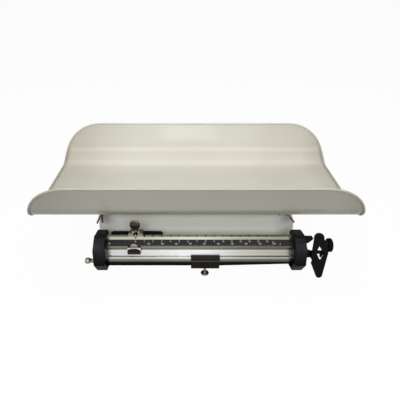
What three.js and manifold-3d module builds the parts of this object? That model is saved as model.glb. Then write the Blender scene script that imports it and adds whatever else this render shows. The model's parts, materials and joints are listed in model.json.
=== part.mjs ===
// Mechanical baby scale with sliding weights, in millimetres.
// +X runs along the beam to the pointer, +Y runs to the back, +Z is up.
// Sizes are given about the middle of the tray, and the finished scale is then set on its own
// footprint's middle, at table height.
import * as THREE from 'three';
import { mergeVertices } from 'three/addons/utils/BufferGeometryUtils.js';
import Module from 'manifold-3d';

const wasm = await Module();
wasm.setup();

// Clearances
const seat = 0.3;
const running = 0.4;
const joinDepth = 0.5;

// Tray
const trayFloorHeight = 120;
const traySheetLength = 545;
const trayFloorWidth = 155;
const traySheet = 1.5;
const trayBendRadius = 39.7;
const trayBendAngle = THREE.MathUtils.degToRad(74.2);
const trayWallHeight = 45.6;
const trayCornerRadius = 77;
const trayBeadRadius = 2.5;
const trayBendSteps = 7;
const trayCornerSteps = 9;
const trayBeadSides = 8;

// Base cover and plate
const baseWidth = 369;
const baseDepth = 180;
const baseTop = 104;
const baseMiddleX = 2.2;
const baseFront = -84;
const coverBottom = 6;
const coverSheet = 1.6;
const coverCornerRadius = 52;
const coverFilletRadius = 46;
const coverCornerSteps = 6;
const coverFilletSteps = 7;
const basePlateBottom = 8;
const basePlateThickness = 2;
const plateWindowInset = 14;
const plateWindowMargin = 6;
const footRadius = 12;
const footInset = 42;

// Levers
const leverPivotX = 120;
const longPivotInset = 24;
const shortPivotInset = 22;
const loadArm = 30;
const leverThickness = 6;
const leverBarWidth = 10;
const leverArmWidth = 6;
const longLeverHeight = 40;
const shortLeverHeight = 18;
const knifeHeight = 4;
const knifeWidth = 5;
const standWidth = 12;
const standDepth = 12;

// Load carrier and cradle
const postX = 110;
const postRadius = 4;
const postHoleRadius = 6.5;
const carrierHeight = 54;
const carrierThickness = 6;
const carrierBarWidth = 12;
const cradleBarBottom = 108;
const cradleBarThickness = 4;
const cradleBarWidth = 14;
const railWidth = 14;
const railSpacing = 303.3;
const railMiddleX = -2;
const railLength = 168;
const railWall = 2;
const railTabWidth = 4.6;
const railTabOverlap = 2;
const railTabDrop = 15;
const railTabThickness = 1.6;

// Wire latches below the tray
const latchWireRadius = 1.6;
const latchFingerLength = 20.5;
const latchShaftLength = 29;
const latchDogLength = 7;
const latchOffset = 4;
const latchDrop = 7.6;
const latchLugWall = 1.6;
const latchLugThickness = 3;
const latchedAngle = THREE.MathUtils.degToRad(45);
const leftLatchAngle = THREE.MathUtils.degToRad(24);
const rightLatchAngle = THREE.MathUtils.degToRad(37);
const keeperThickness = 1.5;
const keeperGap = 5.4;
const keeperFlange = 8;
const keeperLength = 14;

// Beam, with its section about the line through the middles of both end caps
const beamStandOff = 37;
const beamHeight = 66.6;
const beamMiddleX = 6.1;
const extrusionLength = 317.4;
const capThickness = 15;
const capRadius = 34.4;
const capTilt = THREE.MathUtils.degToRad(8);
const capEdge = 1.6;
const capRim = 3.2;
const capRimWall = 5;
const ridge = { crestY: 9, crestZ: 25, frontY: 6, frontZ: 23.5, backY: 12, backZ: 23.2 };
const stripSeat = { topY: 3.5, topZ: 19.3, bottomY: -6.4, bottomZ: 13.6, depth: 1.2 };
const nose = { frontY: -8, topZ: 12.2, bottomZ: 9 };
const slot = { backY: -4.8, topZ: 8.6, bottomZ: 7.3 };
const face = { topY: -7.6, topZ: 7, bottomY: -10.4, bottomZ: -3.7 };
const groove = { backY: -8, topZ: -4.2, bottomZ: -5.4 };
const belly = { topY: -12, topZ: -5.6, frontY: -13, frontZ: -8.9, bottomY: -12, bottomZ: -16.6 };
const beamFloor = -18.1;
const beamBack = 17;
const beamBackTop = 19.4;
const extrusionWall = 2;
const skirtThickness = 3.5;
const skirtBottom = -25.6;
const skirtRise = 4;
const skirtTaperStart = 165;
const skirtRimStep = 1.6;
const notchPitch = 14.7;
const notchCount = 16;
const notchDepth = 2.6;
const notchHalfWidth = 1.5;
const zeroMarkX = -101.3;
const fineZeroX = -102.6;

// Knives of the beam
const fulcrumX = -60;
const beamLoadArm = 30;
const beamKnifeZ = -14.6;
const beamKnifeWidth = 5;
const beamKnifeLength = 11;
const knifeBlockDepth = 6;
const knifeBlockHeight = 6.5;
const knifeBlockMargin = 9;

// Main weight
const weightReachLeft = 46.8;
const weightReachRight = 44.5;
const weightThickness = 10.5;
const weightStandOff = 1.3;
const weightRound = 4.5;
const weightRoundSteps = 3;
const weightBottom = -9;
const weightTop = 18.2;
const carriageWidth = 24;
const carriageSlot = 7;
const carriageSlotFront = 10;
const carriageSlotBack = 7;
const carriageSlotDrop = 5;
const carriageSlotRise = 12;
const carriageThickness = 3;
const carriageLugWidth = 2.4;
const carriageLugDepth = 6;
const handlePinRadius = 1;
const handleHubRadius = 2;
const pawlWidth = 2.4;
const pawlThickness = 1.6;
const discRadius = 8.8;
const discThickness = 2.2;
const discRise = 17.9;
const discForward = 4.1;
const discTilt = THREE.MathUtils.degToRad(18);
const discTailLength = 13.5;
const discTailWidth = 3.4;
const discTailStart = THREE.MathUtils.degToRad(35);
const stemDrop = 4;
const stemWidth = 5.6;
const stemThickness = 1.6;
const pointerLength = 5.5;

// Small weight
const smallWeightLength = 22;
const smallWeightRise = 2.2;
const smallWeightFront = -15.4;
const smallWeightBottom = 3.2;
const smallWeightBevelStart = 2;
const smallTabInset = 0.2;
const smallTabRadius = 6.2;
const smallTabThickness = 0.8;
const tongueThickness = 0.5;

// Tare block
const tareLength = 48.4;
const tareMiddleX = 16;
const tareFront = -17.6;
const tareTop = -2.8;
const tareShoulder = -10.6;
const tareFloor = 4;
const tareBackY = 5;
const thumbHeadRadius = 7.2;
const thumbHeadThickness = 2.6;
const thumbDrop = 16;
const thumbScrewRadius = 2;

// Zero screw
const zeroScrewY = -1;
const zeroScrewZ = -24;
const zeroRodRadius = 2;
const zeroRodLength = 66;
const zeroKnobRadius = 5.2;
const zeroKnobLength = 8.4;
const zeroCollarRadius = 3.9;
const zeroCollarLength = 23.6;
const zeroWeightRadius = 5;
const zeroWeightLength = 16;

// Indicator plate, arms and arrest, measured along the tilted plate
const indicatorTilt = THREE.MathUtils.degToRad(56.4);
const indicatorX = 203;
const indicatorY = -140.6;
const indicatorZ = 72.5;
const indicatorThickness = 4;
const indicatorHeadRadius = 8.2;
const indicatorHeadRise = 28.3;
const indicatorCorners = {
  shoulder: [-11.2, 9.1],
  waist: [-13.6, -4.1],
  notch: [-12, -9.1],
  heel: [-13.6, -13.2],
  foot: { left: [-5, -36], tip: [-0.5, -39.4] },
  toe: [3.7, -34.5],
  hip: [14.4, 3.3],
  collar: [13.5, 14.8],
};
const indicatorWindow = [[0.3, 15.2], [-4.6, 5.6], [-4, 1.5], [0.8, -9.2], [6.8, 0.5], [5.2, 6.4]];
const pointerRise = 25.4;
const pointerTipX = -11.2;
const pointerHalfHeight = 6.6;
const pointerThickness = 4;
const pointerTipLength = 1.1;
const stopArmBack = 7;
const stopArmThickness = 4;
const stopArmRise = 3.6;
const stopArmHeight = 5.6;
const stopPinX = 1;
const stopPinRadius = 1.2;
const stopArmEnd = 11.6;
const stopArmRoot = 12;
const stopArmFlare = 6.2;
const stopTooth = { left: 4, right: 9.4, tip: 4.6, length: 6.2 };
const arrestRise = 15.7;
const arrestBack = 6;
const arrestShaftRadius = 3;
const arrestCamReach = 9;
const arrestLugX = 7;
const arrestLugWidth = 4;
const arrestLugHeight = 9;
const arrestLugWall = 2;
const arrestKnobRadius = 11.6;
const arrestKnobThickness = 7.2;
const arrestKnobX = 13.6;
const fixedArmWidth = 5;
const fixedArmHeight = 10;
const fixedArmBottom = 14;
const fixedArmSetback = 6.5;
const fixedArmRootInset = 33.7;
const fixedArmEndInset = 9;
const fixedArmFoot = 5.5;
const fixedArmFootWidth = 12;
const strutHeight = 6;
const bossRadius = 4;
const bossLength = 3;
const bossInset = 3;
const bossDrop = 15;

// Screws that show on the beam
const screwHeadRadius = 1.7;
const screwHeadHeight = 0.9;
const stripScrewRadius = 2.5;
const stripScrewInset = 7.6;
const stripScrewShare = 0.6;
const leftScrewInset = 8;
const rightScrewInset = 5.8;

// Places worked out from the sizes above
const baseBack = baseFront + baseDepth;
const baseMiddleY = (baseFront + baseBack) / 2;
const coverInsideTop = baseTop - coverSheet;
const plateTop = basePlateBottom + basePlateThickness;
const longPivotY = baseBack - longPivotInset;
const shortPivotY = baseFront + shortPivotInset;
const rearLoadY = longPivotY - loadArm;
const frontLoadY = shortPivotY + loadArm;
const linkY = (longPivotY + shortPivotY) / 2;
const beamY = baseFront - beamStandOff;
const fixedArmY = baseFront + fixedArmSetback;
const fixedArmEndX = indicatorX + fixedArmEndInset;
const extrusionLeft = beamMiddleX - extrusionLength / 2;
const extrusionRight = beamMiddleX + extrusionLength / 2;
const leftCapOuter = extrusionLeft - capThickness;
const rightCapOuter = extrusionRight + capThickness;
const beamLoadX = fulcrumX - beamLoadArm;
const leverArmX = beamLoadX;
const stripDirection = new THREE.Vector2(
  stripSeat.bottomY - stripSeat.topY,
  stripSeat.bottomZ - stripSeat.topZ,
).normalize();
const stripNormal = new THREE.Vector2(stripDirection.y, -stripDirection.x);

// Finishes
const finishes = {
  cream: { color: 0xdcd8cb, roughness: 0.35, metalness: 0 },
  aluminium: { color: 0xc9c6be, roughness: 0.35, metalness: 1 },
  blackPlastic: { color: 0x1b1c1e, roughness: 0.5, metalness: 0 },
  blackPaint: { color: 0x222325, roughness: 0.4, metalness: 0 },
  chrome: { color: 0xd8d8d8, roughness: 0.12, metalness: 1 },
  nickel: { color: 0xb7b2a6, roughness: 0.28, metalness: 1 },
  steel: { color: 0x8f9092, roughness: 0.45, metalness: 1 },
  rubber: { color: 0x202020, roughness: 0.9, metalness: 0 },
};

function material(finish) {
  return new THREE.MeshStandardMaterial(finishes[finish]);
}

function part(parent, name, finish, geometry) {
  const mesh = new THREE.Mesh(geometry, material(finish));
  mesh.name = name;
  parent.add(mesh);
  return mesh;
}

function group(parent, x = 0, y = 0, z = 0) {
  const child = new THREE.Group();
  child.position.set(x, y, z);
  parent.add(child);
  return child;
}

// Joins equal corners and drops triangles that have shrunk to a line.
function welded(geometry) {
  const bare = geometry.clone();
  bare.deleteAttribute('normal');
  bare.deleteAttribute('uv');
  const merged = mergeVertices(bare, 1e-4);
  const index = merged.getIndex().array;
  const kept = [];
  for (let i = 0; i < index.length; i += 3) {
    const [a, b, c] = [index[i], index[i + 1], index[i + 2]];
    if (a !== b && b !== c && c !== a) kept.push(a, b, c);
  }
  merged.setIndex(kept);
  return merged;
}

function toSolid(geometry) {
  const merged = welded(geometry);
  return new wasm.Manifold(new wasm.Mesh({
    numProp: 3,
    vertProperties: new Float32Array(merged.getAttribute('position').array),
    triVerts: new Uint32Array(merged.getIndex().array),
  }));
}

function toGeometry(solid) {
  const mesh = solid.getMesh();
  const geometry = new THREE.BufferGeometry();
  geometry.setAttribute('position', new THREE.BufferAttribute(mesh.vertProperties, 3));
  geometry.setIndex(new THREE.BufferAttribute(mesh.triVerts, 1));
  return geometry;
}

function join(...geometries) {
  return toGeometry(geometries.map(toSolid).reduce((whole, piece) => whole.add(piece)));
}

function cut(geometry, ...tools) {
  return toGeometry(tools.map(toSolid).reduce((left, tool) => left.subtract(tool), toSolid(geometry)));
}

function shapeOf(points) {
  return new THREE.Shape(points.map(([x, y]) => new THREE.Vector2(x, y)));
}

function extruded(shape, depth, options = {}) {
  return new THREE.ExtrudeGeometry(shape, { depth, bevelEnabled: false, steps: 1, ...options });
}

const alongX = new THREE.Matrix4().makeBasis(
  new THREE.Vector3(0, 1, 0),
  new THREE.Vector3(0, 0, 1),
  new THREE.Vector3(1, 0, 0),
);
const alongY = new THREE.Matrix4().makeBasis(
  new THREE.Vector3(1, 0, 0),
  new THREE.Vector3(0, 0, 1),
  new THREE.Vector3(0, -1, 0),
);

// A section drawn in Y and Z, run from x0 to x1
function prismX(section, x0, x1, holes = []) {
  const shape = shapeOf(section);
  shape.holes = holes.map(shapeOf);
  return extruded(shape, x1 - x0).applyMatrix4(alongX).translate(x0, 0, 0);
}

// A section drawn in X and Z, run from y0 to y1
function prismY(section, y0, y1, holes = []) {
  const shape = shapeOf(section);
  shape.holes = holes.map(shapeOf);
  return extruded(shape, y1 - y0).applyMatrix4(alongY).translate(0, y1, 0);
}

// A section drawn in X and Y, run from z0 to z1
function prismZ(section, z0, z1, holes = []) {
  const shape = section instanceof THREE.Shape ? section : shapeOf(section);
  if (holes.length) shape.holes = holes.map(shapeOf);
  return extruded(shape, z1 - z0).translate(0, 0, z0);
}

function block(x0, x1, y0, y1, z0, z1) {
  return new THREE.BoxGeometry(x1 - x0, y1 - y0, z1 - z0)
    .translate((x0 + x1) / 2, (y0 + y1) / 2, (z0 + z1) / 2);
}

function turnedBetween(from, to) {
  const start = new THREE.Vector3(...from);
  const end = new THREE.Vector3(...to);
  const direction = end.clone().sub(start).normalize();
  const turn = new THREE.Quaternion().setFromUnitVectors(new THREE.Vector3(0, 1, 0), direction);
  const middle = start.add(end).multiplyScalar(0.5);
  return new THREE.Matrix4().compose(middle, turn, new THREE.Vector3(1, 1, 1));
}

function rod(from, to, radius, sides = 16) {
  const length = new THREE.Vector3(...from).distanceTo(new THREE.Vector3(...to));
  return new THREE.CylinderGeometry(radius, radius, length, sides)
    .applyMatrix4(turnedBetween(from, to));
}

function bar(from, to, width, height) {
  const length = new THREE.Vector3(...from).distanceTo(new THREE.Vector3(...to));
  return new THREE.BoxGeometry(width, length, height).applyMatrix4(turnedBetween(from, to));
}

// A turned piece: [radius, height] pairs from axis to axis, about Z
function turned(profile, sides = 24) {
  const points = profile.map(([radius, height]) => new THREE.Vector2(radius, height));
  return new THREE.LatheGeometry(points, sides).rotateX(Math.PI / 2);
}

// A skin over a row of rings with equal counts, each ring's normal along the row
function loft(rings, closed = false) {
  const count = rings[0].length;
  const positions = rings.flat().flatMap((p) => [p.x, p.y, p.z]);
  const index = [];
  const spans = closed ? rings.length : rings.length - 1;
  for (let i = 0; i < spans; i += 1) {
    const here = i * count;
    const next = ((i + 1) % rings.length) * count;
    for (let k = 0; k < count; k += 1) {
      const m = (k + 1) % count;
      index.push(here + k, here + m, next + m, here + k, next + m, next + k);
    }
  }
  if (!closed) {
    const last = (rings.length - 1) * count;
    for (let k = 1; k < count - 1; k += 1) {
      index.push(0, k + 1, k, last, last + k, last + k + 1);
    }
  }
  const geometry = new THREE.BufferGeometry();
  geometry.setAttribute('position', new THREE.Float32BufferAttribute(positions, 3));
  geometry.setIndex(index);
  return geometry;
}

// Tray

const trayBendEnd = trayFloorWidth / 2 + trayBendRadius * trayBendAngle;
const traySheetEdge = trayBendEnd + trayWallHeight;

// Place of a point of the sheet: s along the bent section, offset below its upper face
function trayPoint(s, offset) {
  const reach = Math.abs(s);
  const side = Math.sign(s) || 1;
  const flat = trayFloorWidth / 2;
  const angle = Math.min(Math.max(reach - flat, 0) / trayBendRadius, trayBendAngle);
  const wall = Math.max(reach - trayBendEnd, 0);
  const radius = trayBendRadius + offset;
  const y = Math.min(reach, flat) + radius * Math.sin(angle) + wall * Math.cos(angle);
  const z = trayBendRadius - radius * Math.cos(angle) + wall * Math.sin(angle);
  return { y: side * y, z: trayFloorHeight + z, angle: side * angle };
}

function trayHalfLength(s) {
  const edge = traySheetEdge - Math.abs(s);
  const inside = Math.max(trayCornerRadius - edge, 0);
  const round = Math.sqrt(Math.max(trayCornerRadius ** 2 - inside ** 2, 0));
  return traySheetLength / 2 - trayCornerRadius + (inside > 0 ? round : trayCornerRadius);
}

// Stations along the bent section, closer where the sheet bends or its corner turns
function trayStations() {
  const half = [trayFloorWidth / 2];
  for (let i = 1; i <= trayBendSteps; i += 1) {
    half.push(trayFloorWidth / 2 + (trayBendRadius * trayBendAngle * i) / trayBendSteps);
  }
  const cornerStart = traySheetEdge - trayCornerRadius;
  for (let i = 1; i <= trayCornerSteps; i += 1) {
    half.push(cornerStart + trayCornerRadius * Math.sin((i * Math.PI) / 2 / trayCornerSteps));
  }
  half.sort((a, b) => a - b);
  const apart = half.filter((s, i) => i === 0 || i === half.length - 1 || s - half[i - 1] > 1.5);
  return [...apart.map((s) => -s).reverse(), ...apart];
}

function traySheetSolid() {
  return loft(trayStations().map((s) => {
    const upper = trayPoint(s, 0);
    const lower = trayPoint(s, traySheet);
    const x = trayHalfLength(s);
    return [
      new THREE.Vector3(-x, upper.y, upper.z),
      new THREE.Vector3(x, upper.y, upper.z),
      new THREE.Vector3(x, lower.y, lower.z),
      new THREE.Vector3(-x, lower.y, lower.z),
    ];
  }));
}

function trayBeadSolid() {
  const stations = trayStations();
  const edge = [
    ...stations.map((s) => ({ s, x: trayHalfLength(s) })),
    ...stations.slice().reverse().map((s) => ({ s, x: -trayHalfLength(s) })),
  ].map(({ s, x }) => {
    const place = trayPoint(s, traySheet / 2);
    return {
      at: new THREE.Vector3(x, place.y, place.z),
      outward: new THREE.Vector3(0, Math.sin(place.angle), -Math.cos(place.angle)),
    };
  });
  return loft(edge.map(({ at, outward }, i) => {
    const before = edge[(i + edge.length - 1) % edge.length].at;
    const after = edge[(i + 1) % edge.length].at;
    const along = after.clone().sub(before).normalize();
    const u = outward.clone().addScaledVector(along, -outward.dot(along)).normalize();
    const v = along.clone().cross(u);
    return Array.from({ length: trayBeadSides }, (_, k) => {
      const turn = (2 * Math.PI * k) / trayBeadSides;
      return at.clone()
        .addScaledVector(u, trayBeadRadius * Math.cos(turn))
        .addScaledVector(v, trayBeadRadius * Math.sin(turn));
    });
  }), true);
}

function buildTray(parent) {
  part(parent, 'tray', 'cream', join(traySheetSolid(), trayBeadSolid()));
}

// Base

function roundedRing(halfX, halfY, radius, z) {
  const ring = [];
  for (let corner = 0; corner < 4; corner += 1) {
    const cx = (corner === 0 || corner === 3 ? 1 : -1) * (halfX - radius);
    const cy = (corner < 2 ? 1 : -1) * (halfY - radius);
    for (let i = 0; i <= coverCornerSteps; i += 1) {
      const turn = (corner + i / coverCornerSteps) * (Math.PI / 2);
      ring.push(new THREE.Vector3(
        baseMiddleX + cx + radius * Math.cos(turn),
        baseMiddleY + cy + radius * Math.sin(turn),
        z,
      ));
    }
  }
  return ring;
}

// Rings of a rounded box from its open bottom to the edge of its flat top
function coverRings(inset, bottom, top) {
  const fillet = coverFilletRadius - inset;
  const rings = [roundedRing(baseWidth / 2 - inset, baseDepth / 2 - inset, coverCornerRadius - inset, bottom)];
  for (let i = 0; i <= coverFilletSteps; i += 1) {
    const turn = (i / coverFilletSteps) * (Math.PI / 2);
    const shrink = inset + fillet * (1 - Math.cos(turn));
    rings.push(roundedRing(
      baseWidth / 2 - shrink,
      baseDepth / 2 - shrink,
      coverCornerRadius - shrink,
      top - fillet + fillet * Math.sin(turn),
    ));
  }
  return rings;
}

function postPlaces() {
  return [
    ['front_left_post', -postX, frontLoadY],
    ['front_right_post', postX, frontLoadY],
    ['rear_left_post', -postX, rearLoadY],
    ['rear_right_post', postX, rearLoadY],
  ];
}

const noseSlotSideGap = 3;
const noseSlotEndGap = 4;
const noseSlotHalfWidth = leverArmWidth / 2 + noseSlotSideGap;
const noseSlotBottom = longLeverHeight - knifeHeight - noseSlotEndGap;
const noseSlotTop = longLeverHeight + leverThickness + noseSlotEndGap;

function buildCover(parent) {
  const outer = coverRings(0, coverBottom, baseTop);
  const inner = coverRings(coverSheet, coverBottom, coverInsideTop);
  const shell = loft([...inner.slice().reverse(), ...outer]);
  const holes = postPlaces().map(([, x, y]) => (
    rod([x, y, coverInsideTop - 2], [x, y, baseTop + 2], postHoleRadius, 20)
  ));
  const noseSlot = block(
    leverArmX - noseSlotHalfWidth, leverArmX + noseSlotHalfWidth,
    baseFront - 2, baseFront + coverSheet + 2,
    noseSlotBottom, noseSlotTop,
  );
  const armSlot = block(
    baseMiddleX + baseWidth / 2 - coverCornerRadius, baseMiddleX + baseWidth / 2 + 1,
    fixedArmY - fixedArmWidth / 2 - seat, fixedArmY + fixedArmWidth / 2 + seat,
    fixedArmBottom - seat, fixedArmBottom + fixedArmHeight + seat,
  );
  part(parent, 'base_cover', 'cream', cut(shell, ...holes, noseSlot, armSlot));
}

function buildPlateAndFeet(parent) {
  const inset = coverSheet + seat;
  const ring = roundedRing(
    baseWidth / 2 - inset, baseDepth / 2 - inset, coverCornerRadius - inset, basePlateBottom,
  );
  const windowX = leverPivotX - standWidth / 2 - plateWindowInset;
  const windowFront = shortPivotY + standDepth / 2 + plateWindowMargin;
  const windowBack = longPivotY - standDepth / 2 - plateWindowMargin;
  part(parent, 'base_plate', 'steel', prismZ(ring.map((p) => [p.x, p.y]), basePlateBottom, plateTop, [[
    [-windowX, windowFront], [windowX, windowFront], [windowX, windowBack], [-windowX, windowBack],
  ]]));
  const x = baseWidth / 2 - footInset;
  const y = baseDepth / 2 - footInset;
  [['front_left_foot', -1, -1], ['front_right_foot', 1, -1], ['rear_left_foot', -1, 1], ['rear_right_foot', 1, 1]]
    .forEach(([name, sideX, sideY]) => {
      const foot = turned([
        [0, 0], [footRadius - 2, 0], [footRadius, 2], [footRadius, basePlateBottom], [0, basePlateBottom],
      ], 20);
      part(parent, name, 'rubber', foot)
        .position.set(baseMiddleX + sideX * x, baseMiddleY + sideY * y, 0);
    });
}

// A stand with two uprights, each with a groove for a knife edge along X
function leverStand(pivotY, edgeZ) {
  const half = standDepth / 2;
  const section = [
    [pivotY - half, plateTop], [pivotY + half, plateTop], [pivotY + half, edgeZ + knifeHeight / 2],
    [pivotY, edgeZ - seat], [pivotY - half, edgeZ + knifeHeight / 2],
  ];
  const uprights = [-1, 1].map((side) => prismX(
    section,
    side * leverPivotX - standWidth / 2,
    side * leverPivotX + standWidth / 2,
  ));
  const foot = block(
    -leverPivotX, leverPivotX, pivotY - half, pivotY + half, plateTop, plateTop + basePlateThickness,
  );
  return join(...uprights, foot);
}

function buildStands(parent) {
  part(parent, 'long_lever_stand', 'steel', leverStand(longPivotY, longLeverHeight - knifeHeight));
  part(parent, 'short_lever_stand', 'steel', leverStand(shortPivotY, shortLeverHeight - knifeHeight));
}

// Bracket on the cover's front wall, with the grooved bearing under the beam's fulcrum knife
const knifeEdgeZ = beamHeight + beamKnifeZ;
const knifeBackY = beamY + beamBack + seat + knifeBlockDepth;
const knifeEndY = knifeBackY + beamKnifeLength;
const bearingFront = knifeBackY + 1;
const bearingBack = knifeEndY - 1;
const shelfDrop = 8;
const shelfTop = knifeEdgeZ - shelfDrop;
const shelfThickness = 4;
const bracketHalfWidth = 14;
const bracketPlateDrop = 14;
const bracketPlateRise = 8;
const bearingHalfWidth = 5;

function buildBeamBracket(parent) {
  const wall = baseFront - seat;
  const shelf = block(
    fulcrumX - bracketHalfWidth, fulcrumX + bracketHalfWidth,
    bearingFront, wall, shelfTop - shelfThickness, shelfTop,
  );
  const plate = block(
    fulcrumX - bracketHalfWidth, fulcrumX + bracketHalfWidth,
    wall - shelfThickness, wall, shelfTop - bracketPlateDrop, shelfTop + bracketPlateRise,
  );
  part(parent, 'beam_bracket', 'blackPaint', join(shelf, plate));
  const groove = bearingHalfWidth - 1;
  part(parent, 'fulcrum_bearing', 'steel', prismY([
    [fulcrumX - bearingHalfWidth, shelfTop], [fulcrumX + bearingHalfWidth, shelfTop],
    [fulcrumX + bearingHalfWidth, knifeEdgeZ + 2.6], [fulcrumX + groove, knifeEdgeZ + 2.6],
    [fulcrumX, knifeEdgeZ - seat],
    [fulcrumX - groove, knifeEdgeZ + 2.6], [fulcrumX - bearingHalfWidth, knifeEdgeZ + 2.6],
  ], bearingFront, Math.min(bearingBack, wall - shelfThickness - seat)));
}

// Levers, each a flat frame with an arm, with its knife edges along X

function leverFrame(pivotY, loadY, armEndY, bottom) {
  const half = leverBarWidth / 2;
  const outerX = leverPivotX + standWidth / 2 + 2;
  const innerX = outerX - leverBarWidth;
  const low = Math.min(pivotY, loadY) - half;
  const high = Math.max(pivotY, loadY) + half;
  const frame = prismZ(
    [[-outerX, low], [outerX, low], [outerX, high], [-outerX, high]],
    bottom,
    bottom + leverThickness,
    [[
      [-innerX, low + leverBarWidth], [innerX, low + leverBarWidth],
      [innerX, high - leverBarWidth], [-innerX, high - leverBarWidth],
    ]],
  );
  const arm = block(
    leverArmX - leverArmWidth / 2, leverArmX + leverArmWidth / 2,
    Math.min(loadY, armEndY), Math.max(loadY, armEndY),
    bottom, bottom + leverThickness,
  );
  return { frame, arm, outerX };
}

function knifeAlongX(y, edgeZ, baseZ, x0, x1) {
  const overlap = Math.sign(baseZ - edgeZ) * joinDepth;
  const half = knifeWidth / 2;
  const section = [[y - half, baseZ + overlap], [y - half, baseZ], [y, edgeZ], [y + half, baseZ], [y + half, baseZ + overlap]];
  return prismX(edgeZ < baseZ ? section.reverse() : section, x0, x1);
}

function knifeAlongY(x, edgeZ, baseZ, y0, y1, width = knifeWidth) {
  const overlap = Math.sign(baseZ - edgeZ) * joinDepth;
  const half = width / 2;
  const section = [[x - half, baseZ + overlap], [x - half, baseZ], [x, edgeZ], [x + half, baseZ], [x + half, baseZ + overlap]];
  return prismY(edgeZ < baseZ ? section.reverse() : section, y0, y1);
}

const stirrupThickness = 4;
const stirrupHalfWidth = 4.4;
const stirrupWire = 3;
const noseKnifeY = knifeBackY + beamKnifeLength / 2;
const longEnd = noseKnifeY - stirrupThickness;
const linkThickness = 4;
const shortEnd = linkY + linkThickness;

function buildLongLever(parent) {
  const bottom = longLeverHeight;
  const top = bottom + leverThickness;
  const { frame, arm, outerX } = leverFrame(longPivotY, rearLoadY, longEnd, bottom);
  const pivotKnife = knifeAlongX(longPivotY, bottom - knifeHeight, bottom, -outerX, outerX);
  const loadKnife = knifeAlongX(rearLoadY, top + knifeHeight, top, -outerX, outerX);
  const noseKnife = knifeAlongY(leverArmX, bottom - knifeHeight, bottom, longEnd, noseKnifeY + stirrupThickness);
  const linkKnife = knifeAlongY(leverArmX, top + knifeHeight, top, linkY - linkThickness, linkY + linkThickness);
  part(parent, 'long_lever', 'steel', join(frame, arm, pivotKnife, loadKnife, noseKnife, linkKnife));
}

function buildShortLever(parent) {
  const bottom = shortLeverHeight;
  const top = bottom + leverThickness;
  const { frame, arm, outerX } = leverFrame(shortPivotY, frontLoadY, shortEnd, bottom);
  const pivotKnife = knifeAlongX(shortPivotY, bottom - knifeHeight, bottom, -outerX, outerX);
  const loadKnife = knifeAlongX(frontLoadY, top + knifeHeight, top, -outerX, outerX);
  const tailKnife = knifeAlongY(leverArmX, bottom - knifeHeight, bottom, linkY - linkThickness, shortEnd);
  part(parent, 'short_lever', 'steel', join(frame, arm, pivotKnife, loadKnife, tailKnife));
}

// A flat ring round two knife edges, one pulling up and one pulling down
function stirrup(y, lowEdge, highEdge) {
  const x = leverArmX;
  const inner = stirrupHalfWidth;
  const outer = inner + stirrupWire;
  const low = lowEdge - seat;
  const high = highEdge + seat;
  const dip = stirrupWire - 1;
  return prismY(
    [
      [x - outer, low + dip], [x - inner, low - stirrupWire], [x + inner, low - stirrupWire], [x + outer, low + dip],
      [x + outer, high - dip], [x + inner, high + stirrupWire], [x - inner, high + stirrupWire], [x - outer, high - dip],
    ],
    y - stirrupThickness / 2,
    y + stirrupThickness / 2,
    [[
      [x - inner, low + dip], [x, low], [x + inner, low + dip],
      [x + inner, high - dip], [x, high], [x - inner, high - dip],
    ]],
  );
}

function buildLinks(parent) {
  const noseEdge = longLeverHeight - knifeHeight;
  const linkHigh = longLeverHeight + leverThickness + knifeHeight;
  part(parent, 'draft_stirrup', 'steel', stirrup(noseKnifeY, noseEdge, knifeEdgeZ));
  part(parent, 'lever_link', 'steel', stirrup(linkY, shortLeverHeight - knifeHeight, linkHigh));
}

// Load carrier inside the base, its posts, and the cradle above the cover

function carrierFoot(sideX, loadY, edgeZ) {
  const half = carrierBarWidth / 2;
  const x = sideX * postX;
  const low = edgeZ - knifeHeight / 2;
  const lip = 1.5;
  return prismX([
    [loadY - half, carrierHeight + joinDepth], [loadY - half, low], [loadY - half + lip, low],
    [loadY, edgeZ + seat],
    [loadY + half - lip, low], [loadY + half, low], [loadY + half, carrierHeight + joinDepth],
  ], x - half, x + half);
}

// Tongue that hangs from the front end of the left rail, at the rail's outer face
function railTab(outerX, railBottom, top) {
  const right = outerX + railTabOverlap;
  const left = right - railTabWidth;
  const bottom = railBottom - railTabDrop;
  return prismY([
    [left, bottom], [left + railTabWidth / 2, bottom - 0.5], [right, railBottom], [right, top], [left, top],
  ], -railLength / 2 - railTabThickness, -railLength / 2 + joinDepth);
}

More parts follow.
